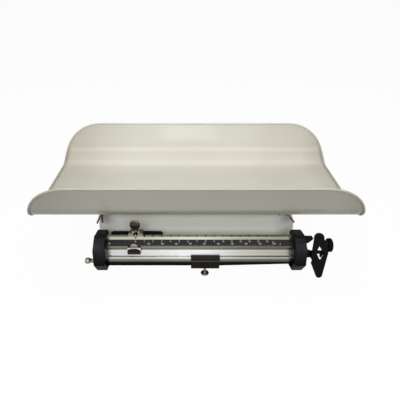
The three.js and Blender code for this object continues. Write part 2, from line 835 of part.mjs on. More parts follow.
function buildPlatform(parent) {
  const half = carrierBarWidth / 2;
  const outerX = postX + half;
  const low = frontLoadY - half;
  const high = rearLoadY + half;
  const frame = prismZ(
    [[-outerX, low], [outerX, low], [outerX, high], [-outerX, high]],
    carrierHeight,
    carrierHeight + carrierThickness,
    [[
      [-outerX + carrierBarWidth, low + carrierBarWidth], [outerX - carrierBarWidth, low + carrierBarWidth],
      [outerX - carrierBarWidth, high - carrierBarWidth], [-outerX + carrierBarWidth, high - carrierBarWidth],
    ]],
  );
  const longEdge = longLeverHeight + leverThickness + knifeHeight;
  const shortEdge = shortLeverHeight + leverThickness + knifeHeight;
  const feet = [-1, 1].flatMap((side) => [
    carrierFoot(side, rearLoadY, longEdge),
    carrierFoot(side, frontLoadY, shortEdge),
  ]);
  part(parent, 'load_carrier', 'steel', join(frame, ...feet));
  const carrierTop = carrierHeight + carrierThickness;
  postPlaces().forEach(([name, x, y]) => {
    part(parent, name, 'steel', rod([x, y, carrierTop], [x, y, cradleBarBottom], postRadius, 16));
  });
  const cradleBarTop = cradleBarBottom + cradleBarThickness;
  const reach = railSpacing / 2 + railWidth / 2;
  [['front_cradle_bar', frontLoadY], ['rear_cradle_bar', rearLoadY]].forEach(([name, y]) => {
    part(parent, name, 'blackPaint', block(
      railMiddleX - reach, railMiddleX + reach,
      y - cradleBarWidth / 2, y + cradleBarWidth / 2,
      cradleBarBottom, cradleBarTop,
    ));
  });
  const railTop = trayFloorHeight - traySheet - seat;
  [['left_rail', -1], ['right_rail', 1]].forEach(([name, side]) => {
    const x = railMiddleX + (side * railSpacing) / 2;
    const inner = railWidth / 2 - railWall;
    const outer = railWidth / 2;
    const channelTop = railTop - railWall;
    part(parent, name, 'blackPaint', join(
      prismY([
        [x - outer, cradleBarTop], [x - inner, cradleBarTop], [x - inner, channelTop], [x + inner, channelTop],
        [x + inner, cradleBarTop], [x + outer, cradleBarTop], [x + outer, railTop], [x - outer, railTop],
      ], -railLength / 2, railLength / 2),
      ...latchLugs(side),
      ...(side < 0 ? [railTab(x - outer, cradleBarTop, channelTop)] : []),
    ));
  });
}

// Wire latches: a shaft along Y in two lugs, a finger at the front and a short dog at the back

const latchZ = trayFloorHeight - traySheet - seat - latchDrop;
const latchFrontY = -railLength / 2 + 3;
const latchBackY = latchFrontY + latchShaftLength;

function latchX(side) {
  return railMiddleX + side * (railSpacing / 2 + railWidth / 2 + latchOffset);
}

function latchLugs(side) {
  const x = latchX(side);
  const half = latchWireRadius + latchLugWall;
  const railEdge = x - side * (latchOffset + 1);
  const outer = x + side * half;
  const t = latchLugThickness;
  return [latchFrontY + t, latchBackY - 2 * t].map((y) => cut(
    block(Math.min(railEdge, outer), Math.max(railEdge, outer), y, y + t, latchZ - half, latchZ + half),
    rod([x, y - 1, latchZ], [x, y + t + 1, latchZ], latchWireRadius + seat, 12),
  ));
}

// The finger hangs outward by the given angle. The dog then stands up, and lies level over the
// keeper's lip once the finger is pressed inward to the latched angle.
function buildLatch(parent, name, side, angle) {
  const hang = group(parent, latchX(side), 0, latchZ);
  const wire = latchWireRadius;
  const dogAngle = Math.PI / 2 - latchedAngle - angle;
  const front = [0, latchFrontY, 0];
  const back = [0, latchBackY, 0];
  const finger = [
    side * latchFingerLength * Math.sin(angle), latchFrontY, -latchFingerLength * Math.cos(angle),
  ];
  const dog = [side * latchDogLength * Math.sin(dogAngle), latchBackY, latchDogLength * Math.cos(dogAngle)];
  part(hang, name, 'nickel', join(
    rod([0, latchFrontY - wire / 2, 0], [0, latchBackY + wire / 2, 0], wire, 10),
    rod(front, finger, wire, 10),
    rod(back, dog, wire, 10),
  ));
}

// Keepers below the tray, each with a lip that the latch's dog turns over
function buildKeepers(parent) {
  [['left_keeper', -1], ['right_keeper', 1]].forEach(([name, side]) => {
    const at = (reach, z) => [latchX(side) + side * reach, z];
    const wall = Math.hypot(latchDogLength, latchWireRadius) + seat;
    const wallBack = wall + keeperThickness;
    const flange = wallBack + keeperFlange;
    const top = trayFloorHeight - traySheet - seat;
    const lipTop = latchZ - latchWireRadius - seat;
    const lipBottom = lipTop - keeperThickness;
    part(parent, name, 'blackPaint', prismY([
      at(keeperGap, lipBottom), at(wallBack, lipBottom), at(wallBack, top - keeperThickness),
      at(flange, top - keeperThickness), at(flange, top), at(wall, top), at(wall, lipTop),
      at(keeperGap, lipTop),
    ], latchBackY - keeperLength / 2, latchBackY + keeperLength / 2));
  });
}

// Beam

function offsetFromStrip(y, z, rise) {
  return [y + stripNormal.x * rise, z + stripNormal.y * rise];
}

function extrusionSection() {
  return [
    [ridge.crestY, ridge.crestZ], [ridge.frontY, ridge.frontZ],
    [stripSeat.topY, stripSeat.topZ],
    offsetFromStrip(stripSeat.topY, stripSeat.topZ, -stripSeat.depth),
    offsetFromStrip(stripSeat.bottomY, stripSeat.bottomZ, -stripSeat.depth),
    [stripSeat.bottomY, stripSeat.bottomZ],
    [nose.frontY, nose.topZ], [nose.frontY, nose.bottomZ],
    [slot.backY, slot.topZ], [slot.backY, slot.bottomZ],
    [face.topY, face.topZ], [face.bottomY, face.bottomZ],
    [groove.backY, groove.topZ], [groove.backY, groove.bottomZ],
    [belly.topY, belly.topZ], [belly.frontY, belly.frontZ], [belly.bottomY, belly.bottomZ],
    [belly.bottomY + extrusionWall, beamFloor],
    [beamBack - extrusionWall * 2, beamFloor], [beamBack, beamFloor + extrusionWall * 2],
    [beamBack, beamBackTop], [ridge.backY, ridge.backZ],
  ];
}

function extrusionHollow() {
  const wall = extrusionWall;
  const back = beamBack - wall;
  return [
    [stripSeat.topY + wall * 2.2, stripSeat.topZ - wall * 1.2],
    [slot.backY + wall, stripSeat.bottomZ - wall],
    [slot.backY + wall, slot.bottomZ - wall],
    [groove.backY + wall, groove.topZ],
    [groove.backY + wall, groove.bottomZ - wall],
    [belly.frontY + wall * 1.4, belly.frontZ - wall / 2],
    [belly.bottomY + wall * 1.3, beamFloor + wall],
    [back - wall, beamFloor + wall],
    [back, beamFloor + wall * 2.2],
    [back, beamBackTop - wall / 2],
  ];
}

// Y of the broad front face at a height of the beam's section
function faceAt(z) {
  return THREE.MathUtils.mapLinear(z, face.topZ, face.bottomZ, face.topY, face.bottomY);
}

function notchX(i) {
  return zeroMarkX + i * notchPitch;
}

function buildExtrusion(parent) {
  const body = prismX(extrusionSection(), extrusionLeft, extrusionRight, [extrusionHollow()]);
  const notches = Array.from({ length: notchCount }, (_, i) => prismY([
    [notchX(i), ridge.crestZ - notchDepth], [notchX(i) + notchHalfWidth, ridge.crestZ + 1],
    [notchX(i) - notchHalfWidth, ridge.crestZ + 1],
  ], ridge.frontY - 1, ridge.backY + 1));
  part(parent, 'beam_extrusion', 'aluminium', cut(body, ...notches));
}

function buildStripAndSkirt(parent) {
  const margin = 0.2;
  const from = [
    stripSeat.topY + stripDirection.x * margin,
    stripSeat.topZ + stripDirection.y * margin,
  ];
  const to = [
    stripSeat.bottomY - stripDirection.x * margin,
    stripSeat.bottomZ - stripDirection.y * margin,
  ];
  const floor = seat - stripSeat.depth;
  part(parent, 'scale_strip', 'blackPaint', prismX([
    offsetFromStrip(...from, 0), offsetFromStrip(...from, floor),
    offsetFromStrip(...to, floor), offsetFromStrip(...to, 0),
  ], extrusionLeft, extrusionRight));
  const front = belly.bottomY + 0.4;
  const skirt = prismX([
    [front, belly.bottomZ - seat], [front, skirtBottom], [front + skirtThickness, skirtBottom],
    [front + skirtThickness, beamFloor - seat], [belly.bottomY + extrusionWall, beamFloor - seat],
  ], extrusionLeft, extrusionRight);
  const taper = prismY([
    [extrusionLeft + skirtTaperStart, skirtBottom - 1], [extrusionRight + 1, skirtBottom - 1],
    [extrusionRight + 1, skirtBottom + skirtRise],
  ], front - 1, front + skirtThickness + 1);
  const rimStep = block(
    extrusionLeft - 1, extrusionLeft + capRim + running,
    front - 1, front + skirtThickness + 1,
    skirtBottom - 1, skirtBottom + skirtRimStep,
  );
  part(parent, 'beam_skirt', 'blackPlastic', cut(skirt, taper, rimStep));
}

function capOctagon(radius) {
  return Array.from({ length: 8 }, (_, k) => {
    const turn = capTilt + (k * Math.PI) / 4;
    return [-radius * Math.sin(turn), radius * Math.cos(turn)];
  });
}

// End cap: an octagon on the beam's line with broken edges. Its rim reaches over the beam's end,
// and is open at the back where the main weight's bar passes.
function capSolid(outerX, beamEndX) {
  const side = Math.sign(outerX - beamEndX);
  const rimX = beamEndX - side * capRim;
  const width = Math.abs(rimX - outerX) - 2 * capEdge;
  const left = Math.min(outerX, rimX) + capEdge;
  const body = extruded(shapeOf(capOctagon(capRadius - capEdge)), width, {
    bevelEnabled: true, bevelThickness: capEdge, bevelSize: capEdge, bevelSegments: 2,
  }).applyMatrix4(alongX).translate(left, 0, 0);
  const faceX = beamEndX + side * seat;
  const openX = rimX - side;
  const low = Math.min(faceX, openX);
  const high = Math.max(faceX, openX);
  const recess = prismX(capOctagon(capRadius - capRimWall), low, high);
  const passage = block(
    low, high, beamBack, capRadius + 1, weightBottom - weightStandOff, weightTop + weightStandOff,
  );
  return cut(body, recess, passage);
}

function buildCaps(parent) {
  const hole = rod(
    [leftCapOuter - 1, zeroScrewY, zeroScrewZ],
    [extrusionLeft + 1, zeroScrewY, zeroScrewZ],
    zeroRodRadius + seat,
  );
  part(parent, 'left_cap', 'blackPlastic', cut(capSolid(leftCapOuter, extrusionLeft), hole));
  part(parent, 'right_cap', 'blackPlastic', capSolid(rightCapOuter, extrusionRight));
}

function buildBeamKnives(parent) {
  const front = beamBack + seat;
  const back = front + knifeBlockDepth;
  const low = beamKnifeZ - knifeBlockHeight / 2 + 1;
  const high = low + knifeBlockHeight;
  part(parent, 'knife_block', 'steel', block(
    beamLoadX - knifeBlockMargin, fulcrumX + knifeBlockMargin, front, back, low, high,
  ));
  const start = back + seat;
  const end = back + beamKnifeLength;
  const half = beamKnifeWidth / 2;
  part(parent, 'fulcrum_knife', 'steel', prismY([
    [fulcrumX, beamKnifeZ], [fulcrumX + half, beamKnifeZ + 3], [fulcrumX + half, beamKnifeZ + 4.4],
    [fulcrumX - half, beamKnifeZ + 4.4], [fulcrumX - half, beamKnifeZ + 3],
  ], start, end));
  part(parent, 'load_knife', 'steel', prismY([
    [beamLoadX - half, beamKnifeZ - 4.4], [beamLoadX + half, beamKnifeZ - 4.4], [beamLoadX + half, beamKnifeZ - 3],
    [beamLoadX, beamKnifeZ], [beamLoadX - half, beamKnifeZ - 3],
  ], start, end));
}

function screwHead(parent, name, x, y, z, normal, radius = screwHeadRadius) {
  const top = seat + screwHeadHeight;
  const from = [x, y + normal.x * seat, z + normal.y * seat];
  const to = [x, y + normal.x * top, z + normal.y * top];
  part(parent, name, 'nickel', rod(from, to, radius, 12));
}

function buildBeamScrews(parent) {
  const stripY = THREE.MathUtils.lerp(stripSeat.topY, stripSeat.bottomY, stripScrewShare);
  const stripZ = THREE.MathUtils.lerp(stripSeat.topZ, stripSeat.bottomZ, stripScrewShare);
  screwHead(
    parent, 'strip_screw', extrusionLeft + stripScrewInset, stripY, stripZ, stripNormal, stripScrewRadius,
  );
  const across = new THREE.Vector2(belly.topY - face.bottomY, belly.topZ - face.bottomZ).normalize();
  const outward = new THREE.Vector2(across.y, -across.x);
  const grooveY = (face.bottomY + belly.topY) / 2;
  const grooveZ = (face.bottomZ + belly.topZ) / 2;
  screwHead(parent, 'left_end_screw', extrusionLeft + leftScrewInset, grooveY, grooveZ, outward);
  screwHead(parent, 'right_end_screw', extrusionRight - rightScrewInset, grooveY, grooveZ, outward);
}

// Main weight

const weightFrontY = beamBack + weightStandOff;
const weightBackY = weightFrontY + weightThickness;
const handlePivotY = ridge.backY + 3;
const handlePivotZ = ridge.crestZ + 2.4;

function buildMainWeight(parent) {
  const corner = (reach, side) => Array.from({ length: weightRoundSteps + 1 }, (_, i) => {
    const turn = (i / weightRoundSteps) * (Math.PI / 2);
    return [
      side * (reach - weightRound * (1 - Math.cos(turn))),
      weightTop - weightRound * (1 - Math.sin(turn)),
    ];
  });
  part(parent, 'weight_bar', 'blackPaint', prismY([
    [-weightReachLeft, weightBottom], [weightReachRight, weightBottom],
    ...corner(weightReachRight, 1), ...corner(weightReachLeft, -1).reverse(),
  ], weightFrontY, weightBackY));
  const clear = running;
  const thick = carriageThickness;
  const saddle = [
    [weightBackY, weightTop + seat], [weightFrontY, weightTop + seat],
    [beamBack + clear, beamBackTop + clear * 0.6], [ridge.backY + clear * 0.6, ridge.backZ + clear],
    [ridge.crestY, ridge.crestZ + clear], [ridge.frontY - clear, ridge.frontZ + clear * 1.4],
    [ridge.frontY - thick, ridge.frontZ + thick * 0.8],
    [ridge.crestY, ridge.crestZ + thick + 0.6], [ridge.backY + 1, ridge.backZ + thick + 2],
    [beamBack + thick * 0.7, beamBackTop + thick * 1.2], [weightBackY, weightTop + thick],
  ];
  const body = prismX(saddle.slice().reverse(), -carriageWidth / 2, carriageWidth / 2);
  const slotTool = block(
    -carriageSlot / 2, carriageSlot / 2,
    ridge.frontY - carriageSlotFront, ridge.backY + carriageSlotBack,
    ridge.frontZ - carriageSlotDrop, ridge.crestZ + carriageSlotRise,
  );
  const lugs = [-1, 1].map((side) => {
    const inner = side * (carriageSlot / 2);
    const outer = side * (carriageSlot / 2 + carriageLugWidth);
    return block(
      Math.min(inner, outer), Math.max(inner, outer),
      handlePivotY - carriageLugDepth / 2, handlePivotY + carriageLugDepth / 2,
      ridge.backZ + carriageThickness * 0.6, handlePivotZ + handleHubRadius + 0.6,
    );
  });
  const bore = rod(
    [-carriageWidth, handlePivotY, handlePivotZ], [carriageWidth, handlePivotY, handlePivotZ],
    handlePinRadius + seat, 12,
  );
  part(parent, 'weight_carriage', 'chrome', cut(join(cut(body, slotTool), ...lugs), bore));
}

// Thumb handle of the main weight: a round disc with a tapered tail, on a stem that ends in the
// pawl and its pointer
function buildHandle(parent) {
  const pinReach = carriageSlot / 2 + 2;
  const discAt = [0, handlePivotY - discForward, handlePivotZ + discRise];
  const outline = new THREE.Shape();
  outline.moveTo(-discTailWidth / 2, -discTailLength);
  outline.lineTo(discTailWidth / 2, -discTailLength);
  outline.absarc(0, 0, discRadius, -discTailStart, Math.PI + discTailStart, false);
  const disc = extruded(outline, discThickness, { curveSegments: 20 })
    .rotateX(Math.PI / 2 - discTilt)
    .translate(...discAt);
  part(parent, 'handle_disc', 'chrome', disc);
  const tipY = ridge.frontY + 1.4;
  const tipZ = ridge.frontZ + 1.6;
  const behind = seat + stemThickness / 2;
  const stemEnd = [
    0,
    discAt[1] + behind * Math.cos(discTilt) - stemDrop * Math.sin(discTilt),
    discAt[2] - behind * Math.sin(discTilt) - stemDrop * Math.cos(discTilt),
  ];
  const stem = bar([0, handlePivotY, handlePivotZ], stemEnd, stemWidth, stemThickness);
  const hubReach = carriageSlot / 2 - running;
  const heel = rod(
    [-hubReach, handlePivotY, handlePivotZ], [hubReach, handlePivotY, handlePivotZ], handleHubRadius, 12,
  );
  const pin = rod(
    [-pinReach, handlePivotY, handlePivotZ], [pinReach, handlePivotY, handlePivotZ], handlePinRadius, 12,
  );
  const pawl = bar([0, handlePivotY, handlePivotZ], [0, tipY, tipZ + 1], pawlWidth, pawlThickness);
  const pointer = bar(
    [0, tipY - 0.2, tipZ + 1.6], [0, tipY - 4.6, tipZ - pointerLength + 2.6], pawlThickness, pawlThickness * 0.75,
  );
  part(parent, 'handle_stem', 'chrome', join(heel, pin, stem, pawl, pointer));
}

// Small weight: slides on the nose, with a thin tongue in the slot under it and a half-round tab on top

function buildSmallWeight(parent) {
  const clear = running;
  const tongueZ = (slot.topZ + slot.bottomZ) / 2;
  const inner = nose.frontY - clear;
  const top = nose.topZ + smallWeightRise;
  const bevelY = inner - smallWeightBevelStart;
  const section = [
    [faceAt(smallWeightBottom) - clear, smallWeightBottom],
    [faceAt(slot.bottomZ - 1) - clear, slot.bottomZ - 1],
    [inner, tongueZ - tongueThickness / 2],
    [slot.backY - clear, tongueZ - tongueThickness / 2],
    [slot.backY - clear, tongueZ + tongueThickness / 2],
    [inner, tongueZ + tongueThickness / 2],
    [inner, nose.topZ + clear / 2],
    [stripSeat.bottomY - clear, stripSeat.bottomZ + clear],
    [stripSeat.bottomY - clear, top],
    [bevelY, top],
    [smallWeightFront, nose.topZ],
    [smallWeightFront, smallWeightBottom],
  ];
  const half = smallWeightLength / 2;
  part(parent, 'small_weight', 'chrome', prismX(section, -half, half));
  const tab = new THREE.Shape();
  tab.moveTo(-smallTabRadius, 0);
  tab.lineTo(smallTabRadius, 0);
  tab.absarc(0, 0, smallTabRadius, 0, Math.PI, false);
  const plate = extruded(tab, smallTabThickness, { curveSegments: 16 })
    .rotateX(Math.PI / 2)
    .translate(0, bevelY + smallTabInset + smallTabThickness, top + seat);
  part(parent, 'small_weight_tab', 'nickel', plate);
}

// Tare block: a saddle round the belly and skirt, clamped from below by a thumb screw

const skirtFront = belly.bottomY + 0.4;
const skirtMiddleY = skirtFront + skirtThickness / 2;

function buildTareBlock(parent) {
  const clear = running;
  const bottom = skirtBottom - clear - tareFloor;
  const skirtBack = skirtFront + skirtThickness;
  const ribBack = groove.backY - clear;
  const section = [
    [faceAt(tareTop) - clear, tareTop],
    [face.bottomY - clear, face.bottomZ],
    [ribBack, groove.topZ - clear],
    [ribBack, groove.bottomZ + clear],
    [belly.topY - clear, belly.topZ + clear],
    [belly.frontY - clear, belly.frontZ],
    [belly.bottomY - clear, belly.bottomZ],
    [belly.bottomY - clear, skirtBottom - clear],
    [skirtBack + clear, skirtBottom - clear],
    [skirtBack + clear, beamFloor - clear],
    [tareBackY, beamFloor - clear],
    [tareBackY, bottom],
    [tareFront + 3.5, bottom],
    [tareFront, tareShoulder - 3.5],
    [tareFront, tareTop - 2],
    [tareFront + 2, tareTop],
  ];
  const half = tareLength / 2;
  const hole = rod([0, skirtMiddleY, bottom - 1], [0, skirtMiddleY, skirtBottom - clear + 1], thumbScrewRadius + seat, 16);
  part(parent, 'tare_block', 'blackPlastic', cut(prismX(section.slice().reverse(), -half, half), hole));
}

function buildThumbScrew(parent) {
  const headBottom = skirtBottom - thumbDrop - tareFloor;
  const r = thumbHeadRadius;
  const neckTop = skirtBottom - running - seat - headBottom;
  part(parent, 'tare_screw', 'nickel', turned([
    [0, 0], [r - 1, 0], [r, 0.8], [r, thumbHeadThickness - 0.8], [r - 1, thumbHeadThickness],
    [thumbScrewRadius + 0.8, thumbHeadThickness], [thumbScrewRadius, thumbHeadThickness + 2],
    [thumbScrewRadius, neckTop], [0, neckTop],
  ], 20)).position.set(0, skirtMiddleY, headBottom);
}

// Zero screw through the left cap, with the small weight that travels on its thread

function buildZeroScrew(parent) {
  const collarEnd = leftCapOuter - seat;
  const knobEnd = collarEnd - zeroCollarLength;
  const r = zeroKnobRadius;
  const profile = [
    [0, 0], [r - 2, 0], [r - 0.5, 1.2], [r, 3], [r, zeroKnobLength - 1.5], [r - 1, zeroKnobLength],
    [zeroCollarRadius, zeroKnobLength], [zeroCollarRadius, zeroCollarLength], [zeroRodRadius, zeroCollarLength],
    [zeroRodRadius, zeroCollarLength + capThickness + zeroRodLength],
    [0, zeroCollarLength + capThickness + zeroRodLength],
  ];
  part(parent, 'zero_screw', 'nickel', turned(profile, 20).rotateY(Math.PI / 2).translate(knobEnd, 0, 0));
}

function buildZeroWeight(parent) {
  const start = extrusionLeft + zeroRodLength * 0.4;
  part(parent, 'zero_weight', 'nickel', cut(
    rod([start, 0, 0], [start + zeroWeightLength, 0, 0], zeroWeightRadius, 20),
    rod([start - 1, 0, 0], [start + zeroWeightLength + 1, 0, 0], zeroRodRadius + seat, 16),
  ));
}

// Indicator plate, its fixed arm, the two arms of the beam beside it, and the arrest

function indicatorFrame(parent, dx = 0, dy = 0, dz = 0) {
  const frame = group(parent, indicatorX + dx, indicatorY + dy, indicatorZ + dz);
  frame.rotation.x = indicatorTilt;
  return frame;
}

function indicatorOutline() {
  const head = indicatorHeadRadius;
  const shape = new THREE.Shape();
  const { shoulder, waist, notch, heel, foot, toe, hip, collar } = indicatorCorners;
  shape.moveTo(-head, indicatorHeadRise - head / 3);
  [shoulder, waist, notch, heel, foot.left].forEach((corner) => shape.lineTo(...corner));
  shape.quadraticCurveTo(...foot.tip, ...toe);
  [hip, collar].forEach((corner) => shape.lineTo(...corner));
  shape.lineTo(head, indicatorHeadRise - head / 4);
  shape.absarc(0, indicatorHeadRise, head, 0, Math.PI, false);
  shape.holes.push(new THREE.Path(indicatorWindow.map((corner) => new THREE.Vector2(...corner))));
  return shape;
}

function buildIndicator(parent) {
  const frame = indicatorFrame(parent);
  const half = indicatorThickness / 2;
  const plate = extruded(indicatorOutline(), indicatorThickness, { curveSegments: 10 }).translate(0, 0, -half);
  const lug = block(
    arrestLugX - arrestLugWidth / 2, arrestLugX + arrestLugWidth / 2,
    arrestRise - arrestLugHeight / 2, arrestRise + arrestLugHeight / 2,
    -arrestBack - arrestShaftRadius - arrestLugWall, -half + joinDepth,
  );
  const bore = rod(
    [arrestLugX - arrestLugWidth, arrestRise, -arrestBack], [arrestLugX + arrestLugWidth, arrestRise, -arrestBack],
    arrestShaftRadius + seat, 20,
  );
  part(frame, 'indicator_plate', 'blackPlastic', cut(join(plate, lug), bore));
}

function platePoint(x, rise, forward) {
  const sin = Math.sin(indicatorTilt);
  const cos = Math.cos(indicatorTilt);
  return [
    indicatorX + x,
    indicatorY + rise * cos - forward * sin,
    indicatorZ + rise * sin + forward * cos,
  ];
}

function buildFixedArm(parent) {
  const z = fixedArmBottom + fixedArmHeight / 2;
  const inner = baseMiddleX + baseWidth / 2 - coverCornerRadius - fixedArmRootInset;
  const along = block(
    inner, fixedArmEndX + fixedArmWidth / 2,
    fixedArmY - fixedArmWidth / 2, fixedArmY + fixedArmWidth / 2,
    fixedArmBottom, fixedArmBottom + fixedArmHeight,
  );
  const bossX = fixedArmEndInset - bossInset;
  const bossFace = -indicatorThickness / 2 - seat;
  const end = platePoint(bossX, -bossDrop, bossFace - bossLength);
  const pad = platePoint(bossX, -bossDrop, bossFace);
  const strut = bar([fixedArmEndX, fixedArmY, z], end, fixedArmWidth, strutHeight);
  const boss = rod(end, pad, bossRadius, 16);
  const foot = block(
    inner - fixedArmFootWidth / 2, inner + fixedArmFootWidth / 2,
    fixedArmY + fixedArmWidth / 2 - 1, fixedArmY + fixedArmWidth / 2 + fixedArmFoot,
    plateTop, fixedArmBottom + fixedArmHeight,
  );
  const heel = block(
    inner, inner + fixedArmFootWidth / 2, fixedArmY - fixedArmWidth / 2, fixedArmY + fixedArmWidth / 2,
    plateTop, fixedArmBottom + joinDepth,
  );
  part(parent, 'indicator_arm', 'blackPaint', join(along, strut, boss, foot, heel));
}

function buildBeamArms(parent) {
  const frame = indicatorFrame(parent, 0, -beamY, -beamHeight);
  const capFace = rightCapOuter + seat - indicatorX;
  const back = -stopArmBack - stopArmThickness;
  const stop = new THREE.Shape();
  const low = stopArmRise - stopArmHeight / 2;
  const high = stopArmRise + stopArmHeight / 2;
  stop.moveTo(capFace, low - stopArmFlare);
  stop.lineTo(capFace + stopArmRoot, low - stopArmFlare + 0.4);
  stop.lineTo(capFace + stopArmRoot + stopArmHeight, low);
  stop.lineTo(stopTooth.left, low);
  stop.lineTo(stopTooth.tip - 0.8, low - stopTooth.length + 1);
  stop.lineTo(stopTooth.tip + 0.8, low - stopTooth.length);
  stop.lineTo(stopTooth.right, low);
  stop.lineTo(stopArmEnd, low);
  stop.lineTo(stopArmEnd, high);
  stop.lineTo(capFace + stopArmRoot, high);
  stop.lineTo(capFace + stopArmRoot / 3, high + stopArmFlare / 2);
  stop.lineTo(capFace, high + stopArmFlare * 0.75);
  const arm = extruded(stop, stopArmThickness).translate(0, 0, back);
  const pin = rod(
    [stopPinX, stopArmRise, back + 1], [stopPinX, stopArmRise, indicatorThickness / 2], stopPinRadius, 12,
  );
  part(frame, 'stop_arm', 'blackPlastic', join(arm, pin));
  const pointerReach = pointerTipX - capFace;
  const pointer = new THREE.Shape();
  pointer.moveTo(capFace, pointerRise - pointerHalfHeight);
  pointer.lineTo(capFace + pointerReach * 0.4, pointerRise - pointerHalfHeight * 0.75);
  pointer.lineTo(pointerTipX, pointerRise);
  pointer.lineTo(pointerTipX, pointerRise + pointerHalfHeight / 2);
  pointer.lineTo(pointerTipX - 1.6, pointerRise + pointerHalfHeight);
  pointer.lineTo(capFace, pointerRise + pointerHalfHeight);
  part(frame, 'pointer_arm', 'blackPlastic', extruded(pointer, pointerThickness).translate(0, 0, -pointerThickness / 3));
  const tipLow = pointerRise + 1.2;
  const tipHigh = pointerRise + 3.2;
  part(frame, 'pointer_tip', 'nickel', prismX([
    [tipLow, -0.4], [tipHigh, -0.4], [tipHigh, 1.4], [tipLow, 1.4],
  ], pointerTipX + seat, pointerTipX + seat + pointerTipLength));
}

function buildArrest(parent) {
  const frame = indicatorFrame(parent);
  const shaft = rod([-3, 0, 0], [arrestKnobX + 1, 0, 0], arrestShaftRadius, 20).translate(0, arrestRise, -arrestBack);
  const half = 2.5;
  const lobe = block(-3, 4, -half, half, -arrestCamReach, 0).translate(0, arrestRise, -arrestBack);
  part(frame, 'arrest_cam', 'steel', join(shaft, lobe));
  const r = arrestKnobRadius;
  const t = arrestKnobThickness;
  const knob = turned([
    [0, 0], [r - 1.5, 0], [r, 1.5], [r, t - 1.5], [r - 1.5, t], [0, t],
  ], 28).rotateY(Math.PI / 2).translate(arrestKnobX + 1 + seat, arrestRise, -arrestBack);
  part(frame, 'arrest_knob', 'blackPlastic', knob);
}

// Whole scale

const scale = new THREE.Group();

const base = group(scale);
buildCover(base);
buildPlateAndFeet(base);
buildStands(base);
buildBeamBracket(base);
buildFixedArm(base);
buildIndicator(base);
buildArrest(base);

const levers = group(scale);
buildLongLever(levers);
buildShortLever(levers);
buildLinks(levers);

const platform = group(scale);
buildPlatform(platform);
buildLatch(platform, 'left_latch', -1, leftLatchAngle);
buildLatch(platform, 'right_latch', 1, rightLatchAngle);
buildTray(platform);
buildKeepers(platform);

const beam = group(scale, 0, beamY, beamHeight);
buildExtrusion(beam);
buildStripAndSkirt(beam);
buildCaps(beam);
buildBeamKnives(beam);
buildBeamScrews(beam);
buildBeamArms(beam);

const mainWeight = group(beam, zeroMarkX, 0, 0);
buildMainWeight(mainWeight);
buildHandle(mainWeight);

const smallWeight = group(beam, fineZeroX, 0, 0);
buildSmallWeight(smallWeight);

const tare = group(beam, tareMiddleX, 0, 0);
buildTareBlock(tare);
buildThumbScrew(tare);

const zero = group(beam, 0, zeroScrewY, zeroScrewZ);
buildZeroScrew(zero);
buildZeroWeight(zero);

// Sets the middle of the footprint at X = Y = 0, on the table
scale.updateMatrixWorld(true);
const extent = new THREE.Box3().setFromObject(scale, true);
const middle = extent.getCenter(new THREE.Vector3());
scale.position.set(-middle.x, -middle.y, -extent.min.z);

export default scale;
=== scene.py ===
"""Looks of the mechanical baby scale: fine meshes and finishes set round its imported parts.

Sizes are in millimetres until a mesh is written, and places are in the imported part's own frame:
+X runs along the beam to the pointer, +Y to the back and +Z up.
"""

import json
import logging
import math
from dataclasses import dataclass, field
from enum import Enum
from typing import Callable, Sequence

import bmesh
import bpy
from mathutils import Matrix, Vector

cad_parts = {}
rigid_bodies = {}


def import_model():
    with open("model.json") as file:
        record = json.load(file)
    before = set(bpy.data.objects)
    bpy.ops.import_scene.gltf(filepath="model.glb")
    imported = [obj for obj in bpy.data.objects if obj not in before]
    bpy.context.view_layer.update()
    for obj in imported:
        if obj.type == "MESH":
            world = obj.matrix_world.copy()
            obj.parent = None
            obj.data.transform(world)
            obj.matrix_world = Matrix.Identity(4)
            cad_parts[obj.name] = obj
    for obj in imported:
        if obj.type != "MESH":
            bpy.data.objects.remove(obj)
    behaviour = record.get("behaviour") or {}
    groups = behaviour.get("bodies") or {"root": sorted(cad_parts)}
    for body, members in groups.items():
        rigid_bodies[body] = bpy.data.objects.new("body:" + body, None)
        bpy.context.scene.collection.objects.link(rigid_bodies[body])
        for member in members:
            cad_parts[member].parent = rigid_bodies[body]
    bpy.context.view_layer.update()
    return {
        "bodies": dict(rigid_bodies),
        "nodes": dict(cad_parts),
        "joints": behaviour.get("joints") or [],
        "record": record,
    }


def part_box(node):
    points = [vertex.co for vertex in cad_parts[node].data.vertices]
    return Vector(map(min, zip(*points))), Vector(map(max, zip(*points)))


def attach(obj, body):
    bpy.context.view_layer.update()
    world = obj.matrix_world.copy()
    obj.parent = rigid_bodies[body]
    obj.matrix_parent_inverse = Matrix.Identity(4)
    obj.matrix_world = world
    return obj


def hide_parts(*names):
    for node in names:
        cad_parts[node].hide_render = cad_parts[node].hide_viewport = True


LOG = logging.getLogger("baby_scale")
MM = 0.001

Point = tuple[float, float]
Color = tuple[float, float, float]


class Side(Enum):
    """The left and right side of the scale, with the sign of X there."""

    LEFT = -1
    RIGHT = 1


class Axis(Enum):
    """The axis that a turned piece is made about."""

    X = "X"
    Y = "Y"
    Z = "Z"


